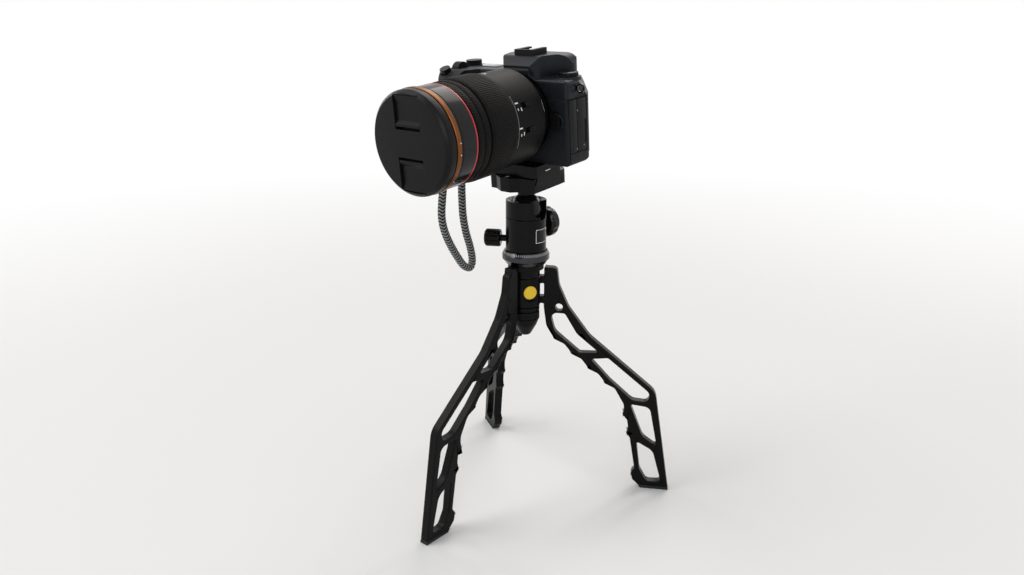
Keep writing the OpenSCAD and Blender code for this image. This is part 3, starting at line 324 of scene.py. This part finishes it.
def strapLine(step):
    # A smooth line through the route, in even steps
    knots = [Vector((strap["side"], y * mm, ball["height"] + z * mm)) for y, z in strap["route"]]
    knots = [2 * knots[0] - knots[1]] + knots + [2 * knots[-1] - knots[-2]]
    fine = []
    for k in range(1, len(knots) - 2):
        a, b, c, d = knots[k - 1:k + 3]
        for i in range(strap["curveSteps"]):
            t = i / strap["curveSteps"]
            fine.append(0.5 * (2 * b + (c - a) * t + (2 * a - 5 * b + 4 * c - d) * t * t
                               + (3 * b - a - 3 * c + d) * t ** 3))
    fine.append(knots[-2])
    along = [0.0]
    for a, b in zip(fine, fine[1:]):
        along.append(along[-1] + (b - a).length)
    count = int(along[-1] / step)
    line, k = [], 0
    for i in range(count + 1):
        at = along[-1] * i / count
        while k < len(fine) - 2 and along[k + 1] < at:
            k += 1
        line.append(fine[k].lerp(fine[k + 1], (at - along[k]) / (along[k + 1] - along[k])))
    return line, along[-1]


def addSpline(curve, points, radius, slot):
    spline = curve.splines.new("POLY")
    spline.points.add(len(points) - 1)
    for point, place in zip(spline.points, points):
        point.co = (*place, 1)
        point.radius = radius / strap["strandRadius"]
    spline.material_index = slot
    spline.use_smooth = True


def makeStrap():
    line, length = strapLine(strap["step"])
    side = Vector((1, 0, 0))
    curve = bpy.data.curves.new("strapStrands", "CURVE")
    curve.dimensions = "3D"
    curve.bevel_depth = strap["strandRadius"]
    curve.bevel_resolution = 1
    curve.use_fill_caps = True
    curve.materials.append(materials["yarnWhite"])
    curve.materials.append(materials["yarnBlack"])
    half = strap["strands"] // 2
    turn = 2 * pi / strap["pitch"]
    step = length / (len(line) - 1)
    frames = []
    for i, place in enumerate(line):
        ahead = (line[min(i + 1, len(line) - 1)] - line[max(i - 1, 0)]).normalized()
        frames.append((place, side, ahead.cross(side).normalized()))
    for way in (1, -1):
        for k in range(half):
            points = []
            for i, (place, across, up) in enumerate(frames):
                s = i * step
                angle = 2 * pi * k / half + way * turn * s
                radius = strap["middle"] + way * strap["weave"] * cos(half * angle / 2)
                points.append(place + (across * cos(angle) + up * sin(angle)) * radius)
            addSpline(curve, points, strap["strandRadius"], (k + (way < 0)) % 2)
    addSpline(curve, line[::4] + [line[-1]], strap["core"], 1)
    loose = bpy.data.objects.new("strapStrands", curve)
    scene.collection.objects.link(loose)
    mesh = bpy.data.meshes.new_from_object(loose.evaluated_get(bpy.context.evaluated_depsgraph_get()))
    bpy.data.objects.remove(loose)
    mesh.name = "braidedStrap"
    piece = bpy.data.objects.new("braidedStrap", mesh)
    scene.collection.objects.link(piece)
    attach(piece, bodyOf["wrist_strap"])
    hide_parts("wrist_strap")
    print("strap length", round(length, 4), "triangles", len(mesh.polygons) * 2)


# Floor and light

light = {
    "world": (0.97, 0.985, 1.0), "worldPower": 0.50,
    "backdrop": (1.0, 1.0, 1.0), "floor": (0.80, 0.795, 0.79), "fadeFrom": 0.55, "fadeTo": 1.9,
    "suns": {
        # direction that the light comes from, width in degrees, strength, colour
        "keyHigh": ((-0.80, -0.75, 1.35), 36, 0.85, (1.0, 0.97, 0.93)),
        "backHigh": ((-0.25, 0.80, 0.75), 40, 0.9, (1.0, 0.93, 0.86)),
    },
    "strips": {
        # direction in degrees, distance, middle height, width, height, watts, colour
        "leftStrip": (176, 1.60, 1.00, 0.16, 0.8, 2.5, (0.95, 0.97, 1.0)),
        "rightStrip": (88, 1.60, 1.00, 0.16, 0.8, 2.5, (1.0, 0.97, 0.94)),
        "windowSoft": (-54, 1.60, 0.85, 0.42, 0.9, 4.5, (0.92, 0.96, 1.0)),
        "sideSoft": (-118, 1.60, 1.00, 0.35, 0.8, 2.5, (0.97, 0.98, 1.0)),
    },
    "aimHeight": 0.35,
    "floorHalf": 8.0, "floorCells": 8, "floorRough": 0.7, "floorSpecular": 0.1,
}


def aimed(place, aim):
    return (Vector(aim) - Vector(place)).to_track_quat("-Z", "Y").to_euler()


def seenByCamera(tree):
    # 1 for what the camera, a reflection or a glass sees, 0 for light that falls on the object
    path = tree.nodes.new("ShaderNodeLightPath")
    seen = mathNode(tree, "MAXIMUM", path.outputs["Is Camera Ray"], path.outputs["Is Glossy Ray"])
    return mathNode(tree, "MAXIMUM", seen, path.outputs["Is Transmission Ray"])


def makeLights():
    world = bpy.data.worlds.new("studio")
    scene.world = world
    world.use_nodes = True
    tree = world.node_tree
    tree.nodes.clear()
    out = tree.nodes.new("ShaderNodeOutputWorld")
    mix = tree.nodes.new("ShaderNodeMixShader")
    soft = tree.nodes.new("ShaderNodeBackground")
    seen = tree.nodes.new("ShaderNodeBackground")
    soft.inputs["Color"].default_value = (*light["world"], 1)
    soft.inputs["Strength"].default_value = light["worldPower"]
    seen.inputs["Color"].default_value = (*light["backdrop"], 1)
    seen.inputs["Strength"].default_value = 1.0
    tree.links.new(seenByCamera(tree), mix.inputs["Fac"])
    tree.links.new(soft.outputs[0], mix.inputs[1])
    tree.links.new(seen.outputs[0], mix.inputs[2])
    tree.links.new(mix.outputs[0], out.inputs["Surface"])
    for name, (way, width, strength, color) in light["suns"].items():
        data = bpy.data.lights.new(name, "SUN")
        data.angle, data.energy, data.color = radians(width), strength, color
        lamp = bpy.data.objects.new(name, data)
        lamp.rotation_euler = aimed(way, (0, 0, 0))
        scene.collection.objects.link(lamp)
    for name, (way, far, up, width, height, watts, color) in light["strips"].items():
        place = (far * cos(radians(way)), far * sin(radians(way)), up)
        data = bpy.data.lights.new(name, "AREA")
        data.shape = "RECTANGLE"
        data.size, data.size_y, data.energy, data.color = width, height, watts, color
        lamp = bpy.data.objects.new(name, data)
        lamp.location = place
        lamp.rotation_euler = aimed(place, (0, 0, light["aimHeight"]))
        scene.collection.objects.link(lamp)
    scene.view_settings.view_transform = "Standard"


def makeFloor():
    bm = bmesh.new()
    cells = light["floorCells"]
    bmesh.ops.create_grid(bm, x_segments=cells, y_segments=cells, size=light["floorHalf"])
    mesh = bpy.data.meshes.new("paleFloor")
    bm.to_mesh(mesh)
    bm.free()
    floor = bpy.data.objects.new("paleFloor", mesh)
    scene.collection.objects.link(floor)
    material = bpy.data.materials.new("paleFloor")
    material.use_nodes = True
    tree = material.node_tree
    shader = tree.nodes["Principled BSDF"]
    shader.inputs["Base Color"].default_value = (*light["floor"], 1)
    shader.inputs["Roughness"].default_value = light["floorRough"]
    shader.inputs["Specular IOR Level"].default_value = light["floorSpecular"]
    # Far from the object the floor goes over into the white backdrop
    far = tree.nodes.new("ShaderNodeVectorMath")
    far.operation = "LENGTH"
    tree.links.new(tree.nodes.new("ShaderNodeTexCoord").outputs["Object"], far.inputs[0])
    fade = tree.nodes.new("ShaderNodeMapRange")
    fade.interpolation_type = "SMOOTHSTEP"
    fade.inputs["From Min"].default_value = light["fadeFrom"]
    fade.inputs["From Max"].default_value = light["fadeTo"]
    tree.links.new(far.outputs["Value"], fade.inputs["Value"])
    glow = tree.nodes.new("ShaderNodeEmission")
    glow.inputs["Color"].default_value = (*light["backdrop"], 1)
    mix = tree.nodes.new("ShaderNodeMixShader")
    tree.links.new(mathNode(tree, "MULTIPLY", fade.outputs["Result"], seenByCamera(tree)), mix.inputs["Fac"])
    tree.links.new(shader.outputs[0], mix.inputs[1])
    tree.links.new(glow.outputs[0], mix.inputs[2])
    tree.links.new(mix.outputs[0], tree.nodes["Material Output"].inputs["Surface"])
    mesh.materials.append(material)


makeLights()
makeFloor()
print("lights and floor placed")


# CAD pieces given their finish, with edges broken as a real part's are

edgeWork = {
    # welding distance in metres; angles in degrees
    "weld": 2e-6, "flat": 0.6, "sharp": 30, "detailSharp": 32, "bevelFrom": 35, "bevelSteps": 2,
}


def smoothBelow(bm, angle):
    for face in bm.faces:
        face.smooth = True
    for edge in bm.edges:
        edge.smooth = len(edge.link_faces) == 2 and edge.calc_face_angle(0) < radians(angle)


def cleanCopy(node):
    # The CAD node's mesh with flat triangles joined up, and faces of many corners split again
    bm = bmesh.new()
    bm.from_mesh(frame["nodes"][node].data)
    bmesh.ops.remove_doubles(bm, verts=bm.verts, dist=edgeWork["weld"])
    bmesh.ops.dissolve_limit(bm, angle_limit=radians(edgeWork["flat"]), verts=bm.verts, edges=bm.edges)
    bmesh.ops.triangulate(bm, faces=[face for face in bm.faces if len(face.verts) > 4])
    smoothBelow(bm, edgeWork["sharp"])
    return bm


def placePiece(bm, name, body, materialName, stands=()):
    mesh = bpy.data.meshes.new(name)
    bm.to_mesh(mesh)
    bm.free()
    if "custom_normal" in mesh.attributes:
        mesh.attributes.remove(mesh.attributes["custom_normal"])
    mesh.materials.clear()
    mesh.materials.append(materials[materialName])
    piece = bpy.data.objects.new(name, mesh)
    scene.collection.objects.link(piece)
    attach(piece, body)
    if stands:
        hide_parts(*stands)
    return piece


def edgedPiece(node, materialName, width):
    piece = placePiece(cleanCopy(node), node + "Finished", bodyOf[node], materialName, [node])
    if width > 0:
        bevel = piece.modifiers.new("brokenEdge", "BEVEL")
        bevel.width = width
        bevel.segments = edgeWork["bevelSteps"]
        bevel.limit_method = "ANGLE"
        bevel.angle_limit = radians(edgeWork["bevelFrom"])
        bevel.use_clamp_overlap = False
        bevel.harden_normals = True


# node: (finish, edge width in mm)
cadFinish = {
    "tripod_platform": ("castBlack", 0.3), "hinge_pin": ("steel", 0), "hub_tail": ("castBlack", 0),
    "leg_front": ("castBlack", 1.1), "leg_right": ("castBlack", 1.1), "leg_rear": ("castBlack", 1.1),
    "shoe_front": ("soleRubber", 0.5), "shoe_right": ("soleRubber", 0.5), "shoe_rear": ("soleRubber", 0.5),
    "hub_badge": ("badgeYellow", 0.15), "head_base": ("polishedBlack", 0.2),
    "head_housing": ("anodised", 0.4),
    "ball_seat": ("liner", 0), "ball": ("ballBlack", 0), "ball_stem": ("anodised", 0.2),
    "lock_knob": ("glossPlastic", 0.5), "pan_knob": ("anodised", 0.2), "clamp_body": ("anodised", 0.3),
    "clamp_jaw": ("anodised", 0.3), "clamp_knob": ("anodised", 0.2), "bubble_level": ("vial", 0.1),
    "release_plate": ("anodised", 0.3), "plate_screw": ("steel", 0.1), "body_shell": ("leatherette", 0.4),
    "top_cover": ("bodyPlastic", 0.4), "rear_cover": ("bodyPlastic", 0.3),
    "hand_grip": ("leatherette", 0.4),
    "accessory_shoe": ("blackPlastic", 0.15), "lens_mount": ("mountChrome", 0.1),
    "image_sensor": ("sensor", 0),
    "shutter_button": ("glossPlastic", 0.3), "grip_dial": ("blackPlastic", 0.2),
    "thumb_dial": ("blackPlastic", 0.15), "power_dial": ("blackPlastic", 0.15),
    "lens_release": ("blackPlastic", 0.3), "strap_lugs": ("polishedBlack", 0.1),
    "eyecup": ("eyeRubber", 0.6), "screen_hinge": ("blackPlastic", 0.1),
    "folding_screen": ("blackPlastic", 0.4),
    "card_door": ("bodyPlastic", 0.2), "battery_door": ("blackPlastic", 0.2),
    "battery": ("blackPlastic", 0),
    "lens_barrel": ("lensBlack", 0.15), "focus_switch": ("blackPlastic", 0.1),
    "steady_switch": ("blackPlastic", 0.1), "zoom_ring": ("ringRubber", 0.15),
    "focus_ring": ("ringRubber", 0.2),
    "control_ring": ("lensBlack", 0.2), "front_barrel": ("lensGloss", 0.15), "red_ring": ("redLine", 0),
    "lens_elements": ("optics", 0), "filter_frame": ("lensGloss", 0.15), "filter_ring": ("brassRing", 0.1),
    "filter_glass": ("filterDark", 0), "lens_cap": ("capBlack", 0.2), "cap_latch_top": ("capBlack", 0.25),
    "cap_latch_bottom": ("capBlack", 0.25), "strap_sleeve": ("sleeveLeather", 0.3),
}
for node, (finish, width) in cadFinish.items():
    edgedPiece(node, finish, width * mm)
makeStrap()
print("CAD pieces finished:", len(cadFinish))


# Places on the camera and on the lens

# Where the lens axis leaves the camera, in mm from the ball's centre
lensSeat = {"back": 3.8, "up": 88.8}
tilt = Matrix.Translation((0, 0, ball["height"])) @ Matrix.Rotation(radians(ball["noseDown"]), 4, "X")
facing = {
    "up": Matrix.Identity(4),
    "front": Matrix(((1, 0, 0, 0), (0, 0, -1, 0), (0, 1, 0, 0), (0, 0, 0, 1))),
    "rear": Matrix(((-1, 0, 0, 0), (0, 0, 1, 0), (0, 1, 0, 0), (0, 0, 0, 1))),
    "door": Matrix(((0, 0, 1, 0), (1, 0, 0, 0), (0, 1, 0, 0), (0, 0, 0, 1))),
}
lensAxis = (tilt @ Matrix.Translation((0, -lensSeat["back"] * mm, lensSeat["up"] * mm))
            @ Matrix.Rotation(radians(90), 4, "X"))


def onCamera(side, x, y, z):
    # A place on the camera, with local z pointing away from that side
    return tilt @ Matrix.Translation((x * mm, y * mm, z * mm)) @ facing[side]


def onLens(forward, angle, radius):
    # A place on the lens, with local z pointing outward and local y towards the cap
    return (lensAxis @ Matrix.Rotation(radians(angle), 4, "Z")
            @ Matrix.Translation((radius * mm, 0, forward * mm)) @ facing["door"])


# Shapes that the detail pieces start from, in mm

plateSteps = {"corner": 6, "edge": 3, "profile": 0.5}
# Steps round a full turn or a part of one
turnSteps = {"lensLine": 144, "wheel": 64, "panelEdgeHighlight": 60, "small": 40, "guard": 24, "strip": 20}


def roundPlate(width, height, thick, corner=0.0, soften=0.0):
    bm = bmesh.new()
    bmesh.ops.create_grid(bm, x_segments=1, y_segments=1, size=0.5)
    bmesh.ops.scale(bm, vec=(width * mm, height * mm, 1), verts=bm.verts)
    if corner:
        bmesh.ops.bevel(bm, geom=bm.verts[:], offset=corner * mm, affect="VERTICES",
                        segments=plateSteps["corner"], profile=plateSteps["profile"], material=-1)
    grown = bmesh.ops.extrude_face_region(bm, geom=bm.faces[:])
    top = [part for part in grown["geom"] if isinstance(part, bmesh.types.BMVert)]
    bmesh.ops.translate(bm, vec=(0, 0, thick * mm), verts=top)
    bmesh.ops.recalc_face_normals(bm, faces=bm.faces)
    if soften:
        rim = [edge for edge in bm.edges if all(vert in top for vert in edge.verts)]
        bmesh.ops.bevel(bm, geom=rim, offset=soften * mm, affect="EDGES",
                        segments=plateSteps["edge"], profile=plateSteps["profile"], material=-1)
    return bm


def turned(profile, steps, angle=360.0, start=0.0):
    # A closed outline of (radius, height) spun round z
    bm = bmesh.new()
    turn = Matrix.Rotation(radians(start), 4, "Z")
    corners = [bm.verts.new(turn @ Vector((r * mm, 0, z * mm))) for r, z in profile]
    sides = [bm.edges.new((a, b)) for a, b in zip(corners, corners[1:] + corners[:1])]
    full = angle >= 360
    geom = corners + sides
    if not full:
        geom.append(bm.faces.new(corners))
    bmesh.ops.spin(bm, geom=geom, axis=(0, 0, 1), cent=(0, 0, 0), angle=radians(angle), steps=steps,
                   use_merge=full)
    bmesh.ops.remove_doubles(bm, verts=bm.verts, dist=1e-6)
    bmesh.ops.recalc_face_normals(bm, faces=bm.faces)
    return bm


def roundTop(radius, height, edge=0.3, dish=0.0):
    # A button or dot: a turned disc with a soft edge, hollow in the middle by the dish
    middle = 0.001
    return turned([(middle, 0), (radius, 0), (radius, height - edge),
                   (radius - 0.3 * edge, height - 0.3 * edge), (radius - edge, height),
                   (middle, height - dish)], turnSteps["small"])


def aroundAxis(bm, count):
    # The same shape repeated round z
    bmesh.ops.spin(bm, geom=bm.verts[:] + bm.edges[:] + bm.faces[:], axis=(0, 0, 1), cent=(0, 0, 0),
                   angle=2 * pi * (count - 1) / count, steps=count - 1, use_duplicate=True)
    return bm


def addPiece(bm, name, node, materialName, place=None, stands=(), body=None):
    # A detail piece that rides the body of the node that carries it, unless another is named
    if place is not None:
        bmesh.ops.transform(bm, matrix=place, verts=bm.verts)
    smoothBelow(bm, edgeWork["detailSharp"])
    placePiece(bm, name, body or bodyOf[node], materialName, stands)


# Lens: ribbed rubber, polished lines, printed marks and a grey arc painted as a highlight on the switch
# panel's edge, in mm along the lens and from its axis, and in degrees round it

ribs = {
    "zoomRibs": {"count": 132, "width": 1.25, "from": 54.6, "length": 26.6, "radius": 43.1, "rise": 0.38},
    "focusRibs": {"count": 150, "width": 1.05, "from": 85.9, "length": 5.2, "radius": 42.3, "rise": 0.35},
    "controlRibs": {"count": 110, "width": 1.5, "from": 93.2, "length": 4.6, "radius": 42.0, "rise": 0.35},
    "sunk": 0.3, "corner": 0.3, "soften": 0.15,
}
lensTrim = {
    "mountLine": {"radius": 34.7, "forward": 5.4, "wide": 0.5, "deep": 0.8, "step": 0.1, "topShare": 0.6},
    # A thin raised strip on the switch panel's front edge, coloured grey as a painted highlight, only over
    # the arc where the highlight falls
    "panelEdgeHighlight": {"outline": [(41.4, 49.1), (42.0, 49.1), (42.15, 49.45), (41.4, 49.6)],
                  "start": -24.0, "sweep": 62.0},
    "redDot": {"forward": 104.6, "angle": -7.0, "radius": 41.55, "size": 0.75, "rise": 0.16, "edge": 0.06},
}
frontLines = {
    # place: forward, height over the barrel
    "places": ((105.9, 0.30), (108.2, 0.45), (112.4, 0.35), (117.4, 0.50)),
    "inner": 41.2, "outer": 41.7, "crown": 0.1, "half": 0.5, "crownHalf": 0.22,
}
ringDots = {
    "angles": (3.6, -8.9, -42.2, -60.0, 150.0, 162.0),
    "forward": 121.3, "radius": 43.27, "size": 0.55, "rise": 0.14, "edge": 0.05,
}
lensMarks = {
    # place: forward, angle, length along the lens, width round it
    "places": ((45.5, 28.0, 4.0, 1.2), (42.0, 20.0, 1.0, 3.0), (46.0, 20.5, 0.9, 2.2),
               (47.0, -1.0, 4.6, 1.2), (42.5, -8.0, 1.0, 3.0), (46.0, -9.0, 0.9, 2.2),
               (43.0, 90.0, 5.0, 0.7), (44.2, 85.5, 2.4, 1.6)),
    "radius": 41.57, "rise": 0.12, "corner": 0.2,
}


def ribBand(name, node):
    trim = ribs[name]
    bm = roundPlate(trim["width"], trim["length"], trim["rise"] + ribs["sunk"], ribs["corner"],
                    ribs["soften"])
    middle = trim["from"] + trim["length"] / 2
    place = Matrix.Translation(((trim["radius"] - ribs["sunk"]) * mm, 0, middle * mm)) @ facing["door"]
    bmesh.ops.transform(bm, matrix=place, verts=bm.verts)
    addPiece(aroundAxis(bm, trim["count"]), name, node, "ringRubber", lensAxis)


def mountLine():
    trim = lensTrim["mountLine"]
    r, t, w = trim["radius"], trim["forward"], trim["wide"] / 2
    inner, shoulder, top = r - trim["deep"], r - trim["step"], trim["topShare"] * w
    outline = [(inner, t - w), (shoulder, t - w), (r, t - top), (r, t + top), (shoulder, t + w),
               (inner, t + w)]
    addPiece(turned(outline, turnSteps["lensLine"]), "mountLine", "lens_barrel", "mountChrome", lensAxis)


# The switch panel's front edge: a raised strip whose grey colour is a painted highlight, laid over part of
# the turn only
def panelEdgeHighlight():
    trim = lensTrim["panelEdgeHighlight"]
    bm = turned(trim["outline"], turnSteps["panelEdgeHighlight"], trim["sweep"], trim["start"])
    addPiece(bm, "panelEdgeHighlight", "lens_barrel", "markGrey", lensAxis)


def frontLine(k, forward, rise):
    inner, outer = frontLines["inner"], frontLines["outer"] + rise
    half, crownHalf = frontLines["half"], frontLines["crownHalf"]
    outline = [(inner, forward - half), (outer, forward - crownHalf), (outer + frontLines["crown"], forward),
               (outer, forward + crownHalf), (inner, forward + half)]
    addPiece(turned(outline, turnSteps["lensLine"]), f"frontLine{k}", "front_barrel", "lensGloss", lensAxis)


def lensDots():
    for k, angle in enumerate(ringDots["angles"]):
        bm = roundTop(ringDots["size"], ringDots["rise"], ringDots["edge"])
        addPiece(bm, f"ringDot{k}", "filter_ring", "markWhite",
                 onLens(ringDots["forward"], angle, ringDots["radius"]))
    trim = lensTrim["redDot"]
    addPiece(roundTop(trim["size"], trim["rise"], trim["edge"]), "redDot", "red_ring", "redLine",
             onLens(trim["forward"], trim["angle"], trim["radius"]))


def printedMarks():
    for k, (forward, angle, tall, wide) in enumerate(lensMarks["places"]):
        bm = roundPlate(wide, tall, lensMarks["rise"], lensMarks["corner"])
        addPiece(bm, f"lensMark{k}", "lens_barrel", "markWhite", onLens(forward, angle, lensMarks["radius"]))


ribBand("zoomRibs", "zoom_ring")
ribBand("focusRibs", "focus_ring")
ribBand("controlRibs", "control_ring")
mountLine()
panelEdgeHighlight()
for k, (forward, rise) in enumerate(frontLines["places"]):
    frontLine(k, forward, rise)
lensDots()
printedMarks()
print("lens details made")


# Camera body: door panels, top display, rear screen and controls, in mm from the ball's centre

portPanels = {
    # span of each panel from front to back
    "frontPanel": (3.4, 12.4), "rearPanel": (12.9, 26.4),
    "low": 55.9, "high": 102.7, "out": 50.55, "thick": 2.1, "corner": 1.3, "soften": 0.35,
}
panelTrim = {
    "hinge": {"x": 51.6, "y": 3.0, "radius": 1.2, "edge": 0.4},
    "pin": {"places": ((13.6, 92.5), (11.6, 59.0), (22.3, 60.5)), "radius": 0.7, "rise": 0.25, "edge": 0.1},
    "nick": {"y": 25.2, "z": 73.0, "plate": (0.7, 21, 0.5, 0.3, 0.15)},
    "out": 52.6,
}


def portDoor():
    low, high = portPanels["low"], portPanels["high"]
    for name, stands in (("frontPanel", ["port_door"]), ("rearPanel", [])):
        y0, y1 = portPanels[name]
        bm = roundPlate(y1 - y0, high - low, portPanels["thick"], portPanels["corner"], portPanels["soften"])
        place = onCamera("door", portPanels["out"], (y0 + y1) / 2, (low + high) / 2)
        addPiece(bm, name, "port_door", "blackPlastic", place, stands)
    hinge = panelTrim["hinge"]
    addPiece(roundTop(hinge["radius"], high - low, hinge["edge"]), "panelHinge", "port_door", "blackPlastic",
             onCamera("up", hinge["x"], hinge["y"], low))
    pin = panelTrim["pin"]
    for k, (y, z) in enumerate(pin["places"]):
        addPiece(roundTop(pin["radius"], pin["rise"], pin["edge"]), f"panelPin{k}", "port_door", "markGrey",
                 onCamera("door", panelTrim["out"], y, z))
    nick = panelTrim["nick"]
    addPiece(roundPlate(*nick["plate"]), "panelNick", "port_door", "blackPlastic",
             onCamera("door", panelTrim["out"], nick["y"], nick["z"]))


topDisplay = {
    # frame and glass: height, corner, soft edge
    "x": -48.5, "y": 18.8, "wide": 27.0, "deep": 15.5, "top": 125.8, "border": 3,
    "frame": (0.35, 2.2, 0.15), "glass": (0.2, 1.4, 0.08),
}


def makeTopDisplay():
    x, y, top = topDisplay["x"], topDisplay["y"], topDisplay["top"]
    wide, deep, border = topDisplay["wide"], topDisplay["deep"], topDisplay["border"]
    addPiece(roundPlate(wide, deep, *topDisplay["frame"]), "topDisplayFrame", "top_cover", "glossPlastic",
             onCamera("up", x, y, top))
    addPiece(roundPlate(wide - border, deep - border, *topDisplay["glass"]), "topDisplayGlass", "top_cover",
             "screenGloss", onCamera("up", x, y, top + topDisplay["frame"][0]))


rearScreen = {
    # frame and glass: width, height, thickness, corner, soft edge
    "x": 5.0, "z": 77.8, "out": 38.0,
    "frame": (71.0, 48.0, 0.35, 2.0, 0.15), "glass": (63.0, 42.0, 0.12, 0.6),
}
rearWheel = {
    "place": (-56, 39.0, 76.8),
    "outline": [(4.9, 0), (8.4, 0), (8.4, 1.1), (7.9, 1.5), (5.6, 1.5), (4.9, 1.1)],
    # button in its middle: radius, height, edge, dish
    "button": (3.9, 1.2, 0.4, 0.3),
}
rearButtons = {
    "places": ((-58, 106.8), (-47, 106.8), (-74, 92.8), (-47, 94.8), (-42, 74.8), (-47, 56.8)),
    "out": 38.75, "button": (2.35, 0.7, 0.35, 0.15),
}
thumbRest = {"place": (-71.5, 37.8, 73.0), "plate": (13.0, 20.0, 0.8, 3.5, 0.5)}
eyepiece = {"place": (0, 42.2, 123.2), "plate": (22.5, 12.0, 0.4, 2.0, 0.1)}


def makeRear():
    x, out, z = rearScreen["x"], rearScreen["out"], rearScreen["z"]
    addPiece(roundPlate(*rearScreen["frame"]), "screenFrame", "folding_screen", "glossPlastic",
             onCamera("rear", x, out, z))
    addPiece(roundPlate(*rearScreen["glass"]), "screenGlass", "folding_screen", "screenGloss",
             onCamera("rear", x, out + rearScreen["frame"][2], z))
    place = onCamera("rear", *rearWheel["place"])
    addPiece(turned(rearWheel["outline"], turnSteps["wheel"]), "rearWheel", "rear_cover", "blackPlastic",
             place)
    addPiece(roundTop(*rearWheel["button"]), "wheelButton", "rear_cover", "glossPlastic", place)
    for k, (across, up) in enumerate(rearButtons["places"]):
        addPiece(roundTop(*rearButtons["button"]), f"rearButton{k}", "rear_cover", "glossPlastic",
                 onCamera("rear", across, rearButtons["out"], up))
    addPiece(roundPlate(*thumbRest["plate"]), "thumbRest", "rear_cover", "leatherette",
             onCamera("rear", *thumbRest["place"]))
    addPiece(roundPlate(*eyepiece["plate"]), "eyepieceGlass", "eyecup", "screenGloss",
             onCamera("rear", *eyepiece["place"]))


# The raised guard stays on the camera while the button inside it moves
releaseGuard = {
    "place": (41.0, -0.9, 84.6), "outline": [(6.3, 0), (7.3, 0), (7.2, 1.5), (6.9, 1.8), (6.5, 1.7)],
    "start": -70.0, "sweep": 150.0,
}
# place on the camera; radius, height, edge, dish
focusLamp = {"place": (-38.0, -0.8, 113.0), "disc": (2.1, 0.5, 0.25, 0.15)}
dialLid = {"place": (41.5, 17.5, 123.95), "disc": (6.4, 0.5, 0.3, 0.1)}


def makeSmallParts():
    bm = turned(releaseGuard["outline"], turnSteps["guard"], releaseGuard["sweep"],
                releaseGuard["start"])
    addPiece(bm, "releaseGuard", "lens_release", "bodyPlastic", onCamera("front", *releaseGuard["place"]),
             body="camera")
    addPiece(roundTop(*focusLamp["disc"]), "focusLamp", "top_cover", "screenGloss",
             onCamera("front", *focusLamp["place"]))
    addPiece(roundTop(*dialLid["disc"]), "dialLid", "power_dial", "polishedBlack",
             onCamera("up", *dialLid["place"]))


portDoor()
makeTopDisplay()
makeRear()
makeSmallParts()
print("body details made")


# Ball head and hub, in mm

turnScale = {"count": 72, "tick": (0.28, 2.4, 0.12), "radius": 21.42, "up": 247.98, "slope": -31.4}
bareBadge = {
    "inner": 18.9, "outer": 19.28, "face": 19.34, "low": 259.2, "high": 272.2, "border": 0.5,
    "start": -22.0, "sweep": 48.0, "turnIn": 1.5,
}
clampVial = {
    "ring": [(2.6, 0), (3.3, 0), (3.3, 0.7), (3.1, 0.95), (2.75, 0.95), (2.6, 0.8)],
    "ringPlace": (-4, -19.4, 33.4), "bubble": (0.9, 0.25, 0.2), "bubblePlace": (-3.6, -19.7, 34.25),
}
plateMark = {"place": (25.0, 3.6, 38.6), "plate": (7.0, 0.8, 0.12, 0.2)}
badgeRim = {
    "outline": [(5.6, 0), (6.2, 0), (6.2, 0.22), (5.6, 0.22)],
    "turn": -30, "radius": 12.35, "up": 209.3,
}


def strip(inner, outer, low, high, start, sweep):
    # A bare plate bent round z
    outline = [(inner, low), (outer, low), (outer, high), (inner, high)]
    return turned(outline, turnSteps["strip"], sweep, start)


def makeTurnScale():
    bm = roundPlate(*turnScale["tick"])
    place = (Matrix.Translation((turnScale["radius"] * mm, 0, turnScale["up"] * mm))
             @ Matrix.Rotation(radians(turnScale["slope"]), 4, "Y") @ facing["door"])
    bmesh.ops.transform(bm, matrix=place, verts=bm.verts)
    addPiece(aroundAxis(bm, turnScale["count"]), "turnScale", "head_base", "markWhite")


def makeBareBadge():
    inner, low, high, start = (bareBadge[key] for key in ("inner", "low", "high", "start"))
    sweep, border, turnIn = bareBadge["sweep"], bareBadge["border"], bareBadge["turnIn"]
    addPiece(strip(inner, bareBadge["outer"], low, high, start, sweep), "badgeBorder", "head_housing",
             "markWhite")
    addPiece(strip(inner, bareBadge["face"], low + border, high - border, start + turnIn, sweep - 2 * turnIn),
             "bareBadge", "head_housing", "glossPlastic")


def makeHeadMarks():
    addPiece(turned(clampVial["ring"], turnSteps["small"]), "vialRing", "clamp_body", "anodised",
             onCamera("up", *clampVial["ringPlace"]))
    addPiece(roundTop(*clampVial["bubble"]), "vialBubble", "bubble_level", "markWhite",
             onCamera("up", *clampVial["bubblePlace"]))
    addPiece(roundPlate(*plateMark["plate"]), "plateMark", "release_plate", "markWhite",
             onCamera("door", *plateMark["place"]))
    place = (Matrix.Rotation(radians(badgeRim["turn"]), 4, "Z")
             @ Matrix.Translation((badgeRim["radius"] * mm, 0, badgeRim["up"] * mm)) @ facing["door"])
    addPiece(turned(badgeRim["outline"], turnSteps["wheel"]), "badgeRim", "hub_badge", "badgeYellow", place)


makeTurnScale()
makeBareBadge()
makeHeadMarks()
print("head details made")
